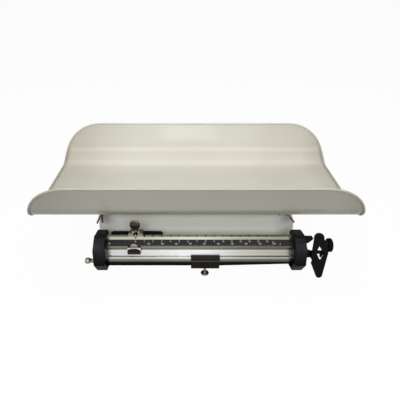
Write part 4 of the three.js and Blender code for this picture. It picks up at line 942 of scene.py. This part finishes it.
@dataclass
class Tray:
    """The bent tray, with its rim curled outward round the whole edge."""

    shop: Workshop
    floor_height: float = 120.0
    sheet_length: float = 545.0
    floor_width: float = 155.0
    sheet: float = 1.5
    bend_radius: float = 39.7
    bend_angle: float = math.radians(74.2)
    wall_height: float = 45.6
    corner_radius: float = 77.0
    bead_radius: float = 2.05
    bead_depth: float = 1.05
    bead_reach: float = 0.23
    bend_steps: int = 22
    corner_steps: int = 26
    columns: int = 72
    bead_sides: int = 20

    def build(self) -> None:
        """Builds and dresses the tray."""
        self.middle_y = self.shop.middle("tray").y
        piece = Meshes.fused(self.sheet_mesh(), self.bead_mesh())
        self.shop.seat(Meshes.smooth(piece), TRAY_ENAMEL, "tray")

    @property
    def bend_end(self) -> float:
        """The place along the section where the bend ends."""
        return self.floor_width / 2 + self.bend_radius * self.bend_angle

    @property
    def edge(self) -> float:
        """The place along the section where the sheet ends."""
        return self.bend_end + self.wall_height

    def at(self, s: float, depth: float) -> tuple[float, float, float]:
        """Gives a point of the bent section.

        Args:
            s: The place along the section, from the middle of the floor.
            depth: The depth below the sheet's upper face.

        Returns:
            Its Y, its Z and the sheet's angle there.
        """
        reach, side = abs(s), math.copysign(1, s)
        flat = self.floor_width / 2
        angle = min(max(reach - flat, 0) / self.bend_radius, self.bend_angle)
        wall = max(reach - self.bend_end, 0)
        radius = self.bend_radius + depth
        y = min(reach, flat) + radius * math.sin(angle) + wall * math.cos(angle)
        z = self.bend_radius - radius * math.cos(angle) + wall * math.sin(angle)
        return self.middle_y + side * y, self.floor_height + z, side * angle

    def half_length(self, s: float) -> float:
        """Gives half the sheet's length at a place along the section.

        Args:
            s: The place along the section.

        Returns:
            The reach of the sheet along X.
        """
        inside = max(self.corner_radius - (self.edge - abs(s)), 0)
        round_part = math.sqrt(max(self.corner_radius**2 - inside**2, 0))
        return self.sheet_length / 2 - self.corner_radius + (round_part if inside > 0 else self.corner_radius)

    def stations(self) -> list[float]:
        """Gives the places along the section, closer where it bends or its corner turns."""
        flat = self.floor_width / 2
        half = [flat * k / 6 for k in range(1, 7)]
        half += [flat + (self.bend_end - flat) * k / self.bend_steps for k in range(1, self.bend_steps + 1)]
        start = self.edge - self.corner_radius
        turns = [k * math.pi / 2 / self.corner_steps for k in range(1, self.corner_steps + 1)]
        half += [start + self.corner_radius * math.sin(t) for t in turns]
        half.sort()
        kept = [s for i, s in enumerate(half) if i in (0, len(half) - 1) or s - half[i - 1] > 0.05]
        return [-s for s in reversed(kept)] + [0.0] + kept

    def sheet_mesh(self) -> bpy.types.Object:
        """Builds the sheet's two faces as one closed mesh."""
        stations = self.stations()
        points, row = [], self.columns + 1
        for depth in (0.0, self.sheet):
            for s in stations:
                y, z, _ = self.at(s, depth)
                reach = self.half_length(s)
                for k in range(row):
                    points.append(Vector((reach * (2 * k / self.columns - 1), y, z)))
        layer = row * len(stations)
        faces = []
        for i in range(len(stations) - 1):
            for k in range(self.columns):
                a, b = i * row + k, (i + 1) * row + k
                faces.append([a, a + 1, b + 1, b])
                faces.append([layer + a, layer + b, layer + b + 1, layer + a + 1])
            for k, flip in ((0, False), (self.columns, True)):
                a, b = i * row + k, (i + 1) * row + k
                side = [a, b, layer + b, layer + a]
                faces.append(side[::-1] if flip else side)
        last = (len(stations) - 1) * row
        for k in range(self.columns):
            faces.append([k, layer + k, layer + k + 1, k + 1])
            faces.append([last + k, last + k + 1, layer + last + k + 1, layer + last + k])
        return Meshes.clean_turned(Meshes.raw("fine_tray", points, faces))

    def bead_mesh(self) -> bpy.types.Object:
        """Builds the curled rim, which stands out round the sheet's edge and below it."""
        stations = self.stations()
        rim = [(s, 1) for s in stations] + [(s, -1) for s in reversed(stations)]
        places, outward = [], []
        for s, side in rim:
            y, z, angle = self.at(s, self.bead_depth)
            places.append(Vector((side * self.half_length(s), y, z)))
            outward.append(Vector((0, math.sin(angle), -math.cos(angle))))
        count = len(places)
        alongs = [(places[(i + 1) % count] - places[i - 1]).normalized() for i in range(count)]
        places = [
            place - along.cross(down - along * down.dot(along)).normalized() * self.bead_reach
            for place, along, down in zip(places, alongs, outward)
        ]
        points, faces, sides = [], [], self.bead_sides
        for i, (place, along) in enumerate(zip(places, alongs)):
            u = (outward[i] - along * outward[i].dot(along)).normalized()
            v = along.cross(u)
            for k in range(sides):
                turn = 2 * math.pi * k / sides
                points.append(place + (u * math.cos(turn) + v * math.sin(turn)) * self.bead_radius)
            there = ((i + 1) % count) * sides
            faces += [[i * sides + k, i * sides + (k + 1) % sides, there + (k + 1) % sides, there + k]
                      for k in range(sides)]
        return Meshes.clean_turned(Meshes.raw("rim", points, faces))


@dataclass
class Base:
    """The rounded cover, the base plate and feet, the stands and the bracket of the beam."""

    shop: Workshop
    sheet: float = 1.6
    corner_radius: float = 52.0
    fillet_radius: float = 46.0
    corner_steps: int = 22
    fillet_steps: int = 18
    hole_radius: float = 6.5
    foot_radius: float = 12.0
    arm_width: float = 5.0
    arm_foot: float = 5.5

    def build(self) -> None:
        """Builds and dresses the pieces of the base."""
        self.build_cover()
        self.build_feet()
        self.shop.refine("base_plate", STEEL, 0.4)
        for node in ("long_lever_stand", "short_lever_stand", "fulcrum_bearing"):
            self.shop.refine(node, STEEL, 0.3)
        self.shop.refine("beam_bracket", BLACK_ENAMEL, 0.5)

    def ring(self, inset: float, z: float) -> list[Vector]:
        """Gives a rounded rectangle of the cover.

        Args:
            inset: The distance inside the cover's widest outline.
            z: The ring's height.

        Returns:
            The ring's points.
        """
        low, high = self.shop.box("base_cover")
        middle = (low + high) / 2
        half_x, half_y = (high.x - low.x) / 2 - inset, (high.y - low.y) / 2 - inset
        radius = self.corner_radius - inset
        points = []
        for corner, (sx, sy) in enumerate(((1, 1), (-1, 1), (-1, -1), (1, -1))):
            for k in range(self.corner_steps + 1):
                turn = (corner + k / self.corner_steps) * math.pi / 2
                points.append(Vector((
                    middle.x + sx * (half_x - radius) + radius * math.cos(turn),
                    middle.y + sy * (half_y - radius) + radius * math.sin(turn),
                    z,
                )))
        return points

    def rings(self, inset: float) -> list[list[Vector]]:
        """Gives the rings of the cover's outer or inner face, from its open bottom up.

        Args:
            inset: 0 for the outer face, or the sheet's thickness for the inner one.

        Returns:
            The rings.
        """
        low, high = self.shop.box("base_cover")
        fillet = self.fillet_radius - inset
        top = high.z - inset
        rows = [self.ring(inset, low.z), self.ring(inset, low.z + 12)]
        for k in range(self.fillet_steps + 1):
            turn = k / self.fillet_steps * math.pi / 2
            shrink = inset + fillet * (1 - math.cos(turn))
            rows.append(self.ring(shrink, top - fillet + fillet * math.sin(turn)))
        return rows

    def build_cover(self) -> None:
        """Builds the rounded cover with the holes for the posts, the lever and the arm."""
        rows = self.rings(self.sheet)[::-1] + self.rings(0.0)
        count = len(rows[0])
        points = [p for row in rows for p in row]
        faces = [list(range(count))[::-1]]
        for i in range(len(rows) - 1):
            here, there = i * count, (i + 1) * count
            for k in range(count):
                m = (k + 1) % count
                faces.append([here + k, here + m, there + m, there + k])
        faces.append([(len(rows) - 1) * count + k for k in range(count)])
        cover = Meshes.clean_turned(Meshes.raw("fine_base_cover", points, faces))
        tools = []
        for node in ("front_left_post", "front_right_post", "rear_left_post", "rear_right_post"):
            place = self.shop.middle(node)
            height = self.shop.box("base_cover")[1].z
            reach = self.hole_radius
            tools.append(Meshes.lathe(
                f"hole_{node}", [(0, -5), (reach, -5), (reach, 5), (0, 5)], Axis.Z,
                (place.x, place.y, height), 32,
            ))
        tools.append(self.slot_tool("draft_stirrup", 6.0, (32.0, 50.0)))
        back = self.shop.box("indicator_arm")[1].y - self.arm_foot
        side = self.shop.box("base_cover")[1].x
        tools.append(self.block(
            "arm_slot", (side - self.corner_radius, back - self.arm_width - 0.3, 13.7),
            (side + 1, back + 0.3, 24.3),
        ))
        Meshes.cut(cover, *tools)
        self.shop.seat(Meshes.softened(cover, 0.0), COVER_ENAMEL, "base_cover")

    def block(self, name: str, low: Sequence[float], high: Sequence[float]) -> bpy.types.Object:
        """Makes a plain block to cut with.

        Args:
            name: The block's name.
            low: Its lowest corner.
            high: Its highest corner.

        Returns:
            The block.
        """
        section = [(low[0], low[1]), (high[0], low[1]), (high[0], high[1]), (low[0], high[1])]
        return Meshes.prism(name, section, low[2], high[2], lambda a, b, t: Vector((a, b, t)))

    def slot_tool(self, node: str, half: float, heights: Point) -> bpy.types.Object:
        """Makes the block that cuts the lever's slot in the front wall.

        Args:
            node: The node whose X the slot follows.
            half: Half the slot's width.
            heights: The slot's lowest and highest Z.

        Returns:
            The block.
        """
        x = self.shop.middle(node).x
        front = self.shop.box("base_cover")[0].y
        return self.block("lever_slot", (x - half, front - 2, heights[0]), (x + half, front + 4, heights[1]))

    def build_feet(self) -> None:
        """Builds the four turned rubber feet."""
        for node in ("front_left_foot", "front_right_foot", "rear_left_foot", "rear_right_foot"):
            low, high = self.shop.box(node)
            middle = (low + high) / 2
            r, top = self.foot_radius, high.z
            profile = [
                (0, 0.8), (r - 5, 0.8), (r - 4, 0), (r - 1.4, 0), (r - 0.5, 0.4), (r - 0.1, 1.2),
                (r, 2.2), (r, top - 1), (r - 0.3, top - 0.3), (r - 1, top), (0, top),
            ]
            foot = Meshes.lathe(f"fine_{node}", profile, Axis.Z, (middle.x, middle.y, low.z), 48)
            self.shop.seat(Meshes.smooth(foot), RUBBER, node)


@dataclass
class Cradle:
    """The levers and load carrier in the base, the posts and bars above it, and the wire latches."""

    shop: Workshop
    wire_radius: float = 1.6
    bend_radius: float = 3.0
    bend_steps: int = 6
    finger_length: float = 20.5
    dog_length: float = 7.0
    hang_angles: dict[Side, float] = field(
        default_factory=lambda: {Side.LEFT: math.radians(24), Side.RIGHT: math.radians(37)}
    )

    def build(self) -> None:
        """Builds and dresses the cradle's pieces."""
        for node in ("long_lever", "short_lever", "draft_stirrup", "lever_link", "load_carrier"):
            self.shop.refine(node, STEEL, 0.35)
        for node in ("front_left_post", "front_right_post", "rear_left_post", "rear_right_post"):
            self.build_post(node)
        for node in ("front_cradle_bar", "rear_cradle_bar"):
            self.shop.refine(node, BLACK_ENAMEL, 0.6)
        for node in ("left_rail", "right_rail"):
            self.shop.refine(node, RAIL_ENAMEL, 0.4)
        for node in ("left_keeper", "right_keeper"):
            self.shop.refine(node, BLACK_ENAMEL, 0.4)
        self.build_latch("left_latch", Side.LEFT)
        self.build_latch("right_latch", Side.RIGHT)

    def build_post(self, node: str) -> None:
        """Builds a turned post with broken ends.

        Args:
            node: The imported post.
        """
        low, high = self.shop.box(node)
        middle = (low + high) / 2
        r, length, edge = (high.x - low.x) / 2, high.z - low.z, 0.5
        profile = [(0, 0), (r - edge, 0), (r, edge), (r, length - edge), (r - edge, length), (0, length)]
        post = Meshes.lathe(f"fine_{node}", profile, Axis.Z, (middle.x, middle.y, low.z), 40)
        self.shop.seat(Meshes.softened(post, 0.0), STEEL, node)

    def bent(self, corners: Sequence[Vector]) -> list[Vector]:
        """Rounds the corners of a bent wire.

        Args:
            corners: The wire's end points and corners.

        Returns:
            The points of the rounded path.
        """
        path = [corners[0]]
        for before, corner, after in zip(corners, corners[1:], corners[2:]):
            start = corner + (before - corner).normalized() * self.bend_radius
            end = corner + (after - corner).normalized() * self.bend_radius
            for k in range(self.bend_steps + 1):
                t = k / self.bend_steps
                path.append(start * (1 - t) ** 2 + corner * (2 * t * (1 - t)) + end * t**2)
        path.append(corners[-1])
        return path

    def build_latch(self, node: str, side: Side) -> None:
        """Builds a wire latch with rounded bends.

        Args:
            node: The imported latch.
            side: The side of the scale it hangs on.
        """
        low, high = self.shop.box(node)
        joint = next(j for j in self.shop.frame["joints"] if j["name"] == f"{node}_turn")
        x, _, z = (v / MM for v in joint["pos_m"])
        r = self.wire_radius
        front, back = low.y + r, high.y - r
        hang = self.hang_angles[side]
        stand = math.pi / 4 - hang
        reach, lift = self.finger_length - r, self.dog_length - r
        path = self.bent([
            Vector((x + side.value * reach * math.sin(hang), front, z - reach * math.cos(hang))),
            Vector((x, front, z)),
            Vector((x, back, z)),
            Vector((x + side.value * lift * math.sin(stand), back, z + lift * math.cos(stand))),
        ])
        self.shop.seat(Meshes.tube(f"fine_{node}", path, r, 16), DULL_NICKEL, node)


@dataclass
class BeamSection:
    """The corners of the beam's section that its strip and screws lie on, about the end caps' middle."""

    strip_top: Point = (3.5, 19.3)
    strip_bottom: Point = (-6.4, 13.6)
    face_bottom: Point = (-10.4, -3.7)
    belly_top: Point = (-12.0, -5.6)

    def along(self) -> Vector:
        """Gives the strip's direction from its top edge to its bottom edge."""
        down = Vector(self.strip_bottom) - Vector(self.strip_top)
        return down.normalized()

    def normal(self) -> Vector:
        """Gives the strip's outward normal."""
        along = self.along()
        return Vector((along.y, -along.x))

    def groove_normal(self) -> Vector:
        """Gives the outward normal of the end screws, which lie over the groove."""
        along = (Vector(self.belly_top) - Vector(self.face_bottom)).normalized()
        return Vector((along.y, -along.x))


@dataclass
class Beam:
    """The aluminium beam with its scale strip, skirt, end caps, screws, knives and arms."""

    shop: Workshop
    section: BeamSection = field(default_factory=BeamSection)
    zero_mark: float = -101.3
    fine_zero: float = -102.6
    kilogram_pitch: float = 14.7
    hundred_gram_pitch: float = 23.3
    ten_gram_marks: int = 100
    upper_figure: float = 2.7
    lower_figure: float = 2.2
    figure_weight: float = 0.1
    mark_rise: float = 0.05

    def build(self) -> None:
        """Builds and dresses the beam's pieces."""
        self.axis = self.shop.middle("left_cap")
        self.shop.refine("beam_extrusion", ALUMINIUM, 0.35, 3, 12.0)
        self.shop.refine("scale_strip", STRIP_PAINT, 0.1)
        self.shop.refine("beam_skirt", DULL_BLACK, 0.6, 3)
        self.shop.refine("left_cap", BLACK_PLASTIC, 0.5, 3, 12.0)
        self.shop.refine("right_cap", BLACK_PLASTIC, 0.5, 3, 12.0)
        for node in ("knife_block", "fulcrum_knife", "load_knife"):
            self.shop.refine(node, STEEL, 0.25)
        self.build_screw("strip_screw", DULL_NICKEL)
        self.build_screw("left_end_screw", DARK_SCREW)
        self.build_screw("right_end_screw", DARK_SCREW)
        for node in ("stop_arm", "pointer_arm"):
            self.shop.refine(node, DULL_BLACK, 0.5, 3)
        self.shop.refine("pointer_tip", NICKEL, 0.2)
        self.build_marks()

    def strip_point(self, x: float, down: float, rise: float) -> Vector:
        """Gives a point on the scale strip.

        Args:
            x: The place along the beam.
            down: The distance from the strip's top edge.
            rise: The height above the strip.

        Returns:
            The point in the part's frame.
        """
        top, along, normal = Vector(self.section.strip_top), self.section.along(), self.section.normal()
        flat = top + along * down + normal * rise
        return Vector((x, self.axis.y + flat.x, self.axis.z + flat.y))

    def mark(self, x: float, start: float, end: float, width: float) -> tuple[list[Vector], list[list[int]]]:
        """Gives one raised mark line of the strip.

        Args:
            x: The place along the beam.
            start: Its start, from the strip's top edge.
            end: Its end.
            width: Its width.

        Returns:
            The points and the faces of a thin block.
        """
        points = [
            self.strip_point(x + dx, down, rise)
            for rise in (0.0, self.mark_rise)
            for dx, down in ((-width / 2, start), (width / 2, start), (width / 2, end), (-width / 2, end))
        ]
        faces = [[0, 1, 2, 3], [7, 6, 5, 4], [0, 4, 5, 1], [1, 5, 6, 2], [2, 6, 7, 3], [3, 7, 4, 0]]
        return points, faces

    def figures(self, words: str, x: float, down: float, size: float) -> bpy.types.Object:
        """Makes a plain number on the strip.

        Args:
            words: The number.
            x: The place of its middle along the beam.
            down: The place of its middle from the strip's top edge.
            size: The height of its figures.

        Returns:
            The mesh of the number.
        """
        curve = bpy.data.curves.new("figure", "FONT")
        curve.body = words
        curve.align_x, curve.align_y = "CENTER", "CENTER"
        curve.size = size * 1.35 * MM
        curve.extrude = self.mark_rise / 2 * MM
        curve.offset = self.figure_weight * MM
        curve.resolution_u = 3
        text = bpy.data.objects.new("figure", curve)
        bpy.context.scene.collection.objects.link(text)
        bpy.context.view_layer.update()
        mesh = bpy.data.meshes.new_from_object(text.evaluated_get(bpy.context.evaluated_depsgraph_get()))
        bpy.data.objects.remove(text)
        bpy.data.curves.remove(curve)
        along, normal = self.section.along(), self.section.normal()
        place = Matrix((
            (1, 0, 0, 0), (0, -along.x, normal.x, 0), (0, -along.y, normal.y, 0), (0, 0, 0, 1),
        ))
        middle = self.strip_point(x, down, self.mark_rise / 2) * MM
        mesh.transform(Matrix.Translation(middle) @ place)
        piece = bpy.data.objects.new("figure", mesh)
        bpy.context.scene.collection.objects.link(piece)
        return piece

    def build_marks(self) -> None:
        """Builds the scale's lines and its plain numbers."""
        top, bottom = Vector(self.section.strip_top), Vector(self.section.strip_bottom)
        width = (bottom - top).length
        points: list[Vector] = []
        faces: list[list[int]] = []

        def add(x: float, start: float, end: float, thickness: float) -> None:
            """Adds one mark to the mesh."""
            more, quads = self.mark(x, start, end, thickness)
            faces.extend([[len(points) + v for v in quad] for quad in quads])
            points.extend(more)

        for k in range(16):
            add(self.zero_mark + k * self.kilogram_pitch, 0.3, 1.5, 0.7)
        for k in range(self.ten_gram_marks + 1):
            length = 2.0 if k % 10 == 0 else 1.5 if k % 5 == 0 else 1.0
            x = self.fine_zero + k * self.hundred_gram_pitch / 10
            add(x, width - 0.5 - length, width - 0.5, 0.28)
        lines = Meshes.raw("scale_marks", points, faces)
        words = [
            self.figures(str(k), self.zero_mark + k * self.kilogram_pitch, 3.3, self.upper_figure)
            for k in range(16)
        ]
        words += [
            self.figures(
                str(100 * k), self.fine_zero + k * self.hundred_gram_pitch, width - 4.2, self.lower_figure,
            )
            for k in range(1, 11)
        ]
        words.append(self.figures("kg", self.zero_mark + 15.7 * self.kilogram_pitch, 3.9, self.lower_figure))
        gram_place = self.fine_zero + 10.45 * self.hundred_gram_pitch
        words.append(self.figures("g", gram_place, width - 4.2, self.lower_figure))
        self.shop.seat(Meshes.fused(lines, *words), MARK_PAINT, body="beam")

    def build_screw(self, node: str, finish: Finish) -> None:
        """Builds a domed screw head with its slot.

        Args:
            node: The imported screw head.
            finish: The head's finish.
        """
        low, high = self.shop.box(node)
        middle = (low + high) / 2
        r = (high.x - low.x) / 2
        normal = self.section.normal() if node == "strip_screw" else self.section.groove_normal()
        facing = Vector((0, normal.x, normal.y))
        thick = 0.9
        steps = 6
        dome = [
            (r * math.cos(t), thick * 0.35 + thick * 0.5 * math.sin(t))
            for t in (k * math.pi / 2 / steps for k in range(steps + 1))
        ]
        profile = [(0, -thick / 2), (r, -thick / 2)] + dome[:-1] + [(0, dome[-1][1])]
        head = Meshes.lathe(f"fine_{node}", profile, Axis.Z, (0, 0, 0), 28)
        slot = Base(self.shop).block("slot", (-r * 1.2, -0.22, 0.12), (r * 1.2, 0.22, 2.0))
        turn = facing.to_track_quat("Z", "X").to_matrix().to_4x4()
        Meshes.cut(head, slot)
        head.data.transform(Matrix.Translation(middle * MM) @ turn)
        self.shop.seat(Meshes.softened(head, 0.0), finish, node)


@dataclass
class Weights:
    """The main weight with its handle, the small weight, the tare block and the zero screw."""

    shop: Workshop
    disc_tilt: float = math.radians(18.0)
    disc_radius: float = 8.8
    disc_thickness: float = 2.2
    disc_dome: float = 0.9
    tail_length: float = 13.5
    tail_width: float = 3.4
    tail_start: float = math.radians(35.0)
    knurls: int = 26
    plate_thickness: float = 0.6
    plate_margin: float = 0.7
    plate_shoulder: float = 2.6
    plate_rise: float = 1.5

    def build(self) -> None:
        """Builds and dresses the weights."""
        self.shop.refine("weight_bar", BLACK_ENAMEL, 0.8, 3)
        self.shop.refine("weight_carriage", CARRIAGE_PLATE, 0.35, 3, 18.0)
        self.shop.refine("handle_stem", CHROME, 0.25, 2)
        self.build_disc()
        self.shop.refine("small_weight", CHROME, 0.3, 3, 18.0)
        # A thin dark plate on the small weight's front: a painted dark reflection.
        self.build_face_plate()
        self.shop.refine("small_weight_tab", TAB_NICKEL, 0.15)
        self.shop.refine("tare_block", TARE_PLASTIC, 0.7, 3, 18.0)
        self.build_thumb_screw()
        self.build_zero_screw()
        self.shop.refine("zero_weight", NICKEL, 0.4)

    def disc_outline(self, inset: float) -> list[Point]:
        """Gives the thumb disc's outline, a circle with a tapered tail.

        Args:
            inset: The distance inside the widest outline.

        Returns:
            The points of the outline.
        """
        steps = 56
        radius, half_tail = self.disc_radius - inset, max(self.tail_width / 2 - inset, 0.3)
        sweep = math.pi + 2 * self.tail_start
        turns = [-self.tail_start + sweep * k / steps for k in range(steps + 1)]
        points = [(radius * math.cos(t), radius * math.sin(t)) for t in turns]
        foot = -self.tail_length + inset
        tail = [
            (-half_tail, foot + 0.5), (-half_tail + 0.4, foot),
            (half_tail - 0.4, foot), (half_tail, foot + 0.5),
        ]
        return points + tail

    def build_disc(self) -> None:
        """Builds the chromed thumb disc with its rolled edge, domed towards the user."""
        low, high = self.shop.box("handle_disc")
        facing = Vector((0, -math.cos(self.disc_tilt), math.sin(self.disc_tilt)))
        upward = Vector((0, math.sin(self.disc_tilt), math.cos(self.disc_tilt)))
        across = Vector((1, 0, 0))
        top = self.disc_radius * upward.z
        middle = Vector(((low.x + high.x) / 2, 0, high.z - top))
        middle.y = low.y + self.tail_length * upward.y
        thick, dome = self.disc_thickness, self.disc_dome
        levels = [(0.9, 0.0), (0.25, 0.15), (0.0, 0.7), (0.0, thick - dome - 0.5), (0.2, thick - dome - 0.1)]
        levels += [
            (self.disc_radius * s, thick - dome + dome * math.sqrt(s)) for s in (0.12, 0.3, 0.5, 0.7, 0.9)
        ]
        rows = [
            [
                middle + across * a + upward * b + facing * (height - thick)
                for a, b in self.disc_outline(inset)
            ]
            for inset, height in levels
        ]
        count = len(rows[0])
        points = [p for row in rows for p in row]
        faces = [
            [
                i * count + k, i * count + (k + 1) % count,
                (i + 1) * count + (k + 1) % count, (i + 1) * count + k,
            ]
            for i in range(len(rows) - 1) for k in range(count)
        ]
        faces += [list(range(count))[::-1], [(len(rows) - 1) * count + k for k in range(count)]]
        disc = Meshes.clean_turned(Meshes.raw("fine_handle_disc", points, faces))
        self.shop.seat(Meshes.smooth(disc), CHROME, "handle_disc")

    def build_face_plate(self) -> None:
        """Builds a thin dark plate with an arched top edge on the small weight's front: a painted dark
        reflection on its face.
        """
        low, high = self.shop.box("small_weight")
        half = (high.x - low.x) / 2 - self.plate_margin
        middle, foot = (low.x + high.x) / 2, low.z + 0.2
        shoulder, rise = high.z - self.plate_shoulder, self.plate_shoulder + self.plate_rise
        steps = 16
        arch = [
            (middle + half * math.cos(t), shoulder + rise * math.sin(t))
            for t in (math.pi * k / steps for k in range(steps + 1))
        ]
        outline = [(middle - half, foot), (middle + half, foot), *arch]
        points = [(x, y, z) for y in (low.y - self.plate_thickness, low.y) for x, z in outline]
        count = len(outline)
        faces = [[k, (k + 1) % count, count + (k + 1) % count, count + k] for k in range(count)]
        faces += [list(range(count))[::-1], list(range(count, 2 * count))]
        plate = Meshes.clean(Meshes.raw("small_weight_painted_reflection", points, faces))
        self.shop.seat(Meshes.softened(plate, 0.15, 2), PAINTED_REFLECTION_FINISH, body="small_weight")

    def knurled(self, depth: float, low: float, high: float) -> Callable[[float, float, float], float]:
        """Gives the ripple of a knurled rim.

        Args:
            depth: The depth of the grooves.
            low: The start of the knurling along the axis.
            high: Its end.

        Returns:
            The change of radius from radius, place along the axis and angle.
        """

        def ripple(radius: float, along: float, angle: float) -> float:
            """Gives the change of radius at a place."""
            inside = low <= along <= high
            return -depth * (0.5 + 0.5 * math.cos(self.knurls * angle)) if inside else 0.0

        return ripple

    def build_thumb_screw(self) -> None:
        """Builds the tare block's thumb screw with its domed, knurled head."""
        low, high = self.shop.box("tare_screw")
        middle = (low + high) / 2
        r, length = (high.x - low.x) / 2, high.z - low.z
        neck, head = 2.0, 2.6
        profile = [
            (0, 0.15), (r * 0.5, 0), (r - 1.4, 0.1), (r - 0.5, 0.5), (r - 0.05, 1.0), (r, 1.3),
            (r - 0.05, 1.6),
            (r - 0.6, 2.1), (r - 1.6, head), (neck + 1.0, head + 0.25), (neck + 0.3, head + 1.0),
            (neck, head + 2.2), (neck, length - 0.6), (neck - 0.5, length), (0, length),
        ]
        screw = Meshes.lathe(
            "fine_tare_screw", profile, Axis.Z, (middle.x, middle.y, low.z), 130,
            self.knurled(0.25, 0.9, 1.7),
        )
        self.shop.seat(Meshes.smooth(screw), DULL_NICKEL, "tare_screw")

    def build_zero_screw(self) -> None:
        """Builds the zero screw with its knurled knob, its collar and the thread."""
        low, high = self.shop.box("zero_screw")
        middle = (low + high) / 2
        r, length = (high.z - low.z) / 2, high.x - low.x
        collar, rod, knob, collar_end = 3.9, 2.0, 8.4, 23.6
        profile: list[Point] = [
            (0, 0.5), (1.2, 0.5), (1.4, 0.1), (r - 2.2, 0.0), (r - 1.0, 0.5), (r - 0.3, 1.4), (r, 2.6),
            (r, knob - 1.6), (r - 0.3, knob - 0.9), (r - 1.0, knob - 0.2), (collar, knob),
            (collar, knob + 2.2), (collar - 0.6, knob + 2.5), (collar - 0.6, knob + 3.1),
            (collar, knob + 3.4),
            (collar, collar_end - 0.4), (collar - 0.4, collar_end), (rod, collar_end),
        ]
        pitch, start = 0.7, collar_end + 15.0
        turns = int((length - start - 1) / pitch)
        for k in range(turns):
            profile += [(rod, start + k * pitch), (rod - 0.35, start + (k + 0.5) * pitch)]
        profile += [(rod - 0.3, length - 0.3), (0, length)]
        screw = Meshes.lathe(
            "fine_zero_screw", profile, Axis.X, (low.x, middle.y, middle.z), 104,
            self.knurled(0.3, 2.0, knob - 1.0),
        )
        self.shop.seat(Meshes.smooth(screw), NICKEL, "zero_screw")


@dataclass
class Indicator:
    """The indicator plate on its arm, and the arrest with its knob."""

    shop: Workshop
    knurls: int = 44

    def build(self) -> None:
        """Builds and dresses the indicator and the arrest."""
        self.shop.refine("indicator_plate", DULL_BLACK, 0.6, 3)
        self.shop.refine("indicator_arm", DULL_BLACK, 0.5, 2)
        self.shop.refine("arrest_cam", STEEL, 0.2)
        self.build_knob()

    def build_knob(self) -> None:
        """Builds the arrest's knurled knob with its dished outer face."""
        low, high = self.shop.box("arrest_knob")
        middle = (low + high) / 2
        r, thick = (high.z - low.z) / 2, high.x - low.x
        profile = [
            (0, 0), (r - 2.2, 0), (r - 1.0, 0.3), (r - 0.3, 1.0), (r, 1.9), (r, thick - 1.9),
            (r - 0.3, thick - 1.0), (r - 1.0, thick - 0.3), (r - 2.2, thick), (r - 3.2, thick - 0.6),
            (r * 0.4, thick - 0.9), (0, thick - 0.7),
        ]

        def ripple(radius: float, along: float, angle: float) -> float:
            """Gives the change of radius of the knurled rim."""
            inside = 1.5 < along < thick - 1.5 and radius > r - 0.5
            return -0.3 * (0.5 + 0.5 * math.cos(self.knurls * angle)) if inside else 0.0

        knob = Meshes.lathe(
            "fine_arrest_knob", profile, Axis.X, (low.x, middle.y, middle.z), self.knurls * 4, ripple,
        )
        self.shop.seat(Meshes.smooth(knob), DULL_BLACK, "arrest_knob")


def main() -> None:
    """Builds the studio and every sub-assembly in order, and reports each piece."""
    logging.basicConfig(level=logging.INFO, format="%(name)s: %(message)s")
    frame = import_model()
    shop = Workshop(frame)
    Studio().build()
    for assembly in (Tray(shop), Base(shop), Cradle(shop), Beam(shop), Weights(shop), Indicator(shop)):
        assembly.build()
    LOG.info("%d pieces in all", shop.made)


if __name__ == "__main__":
    main()
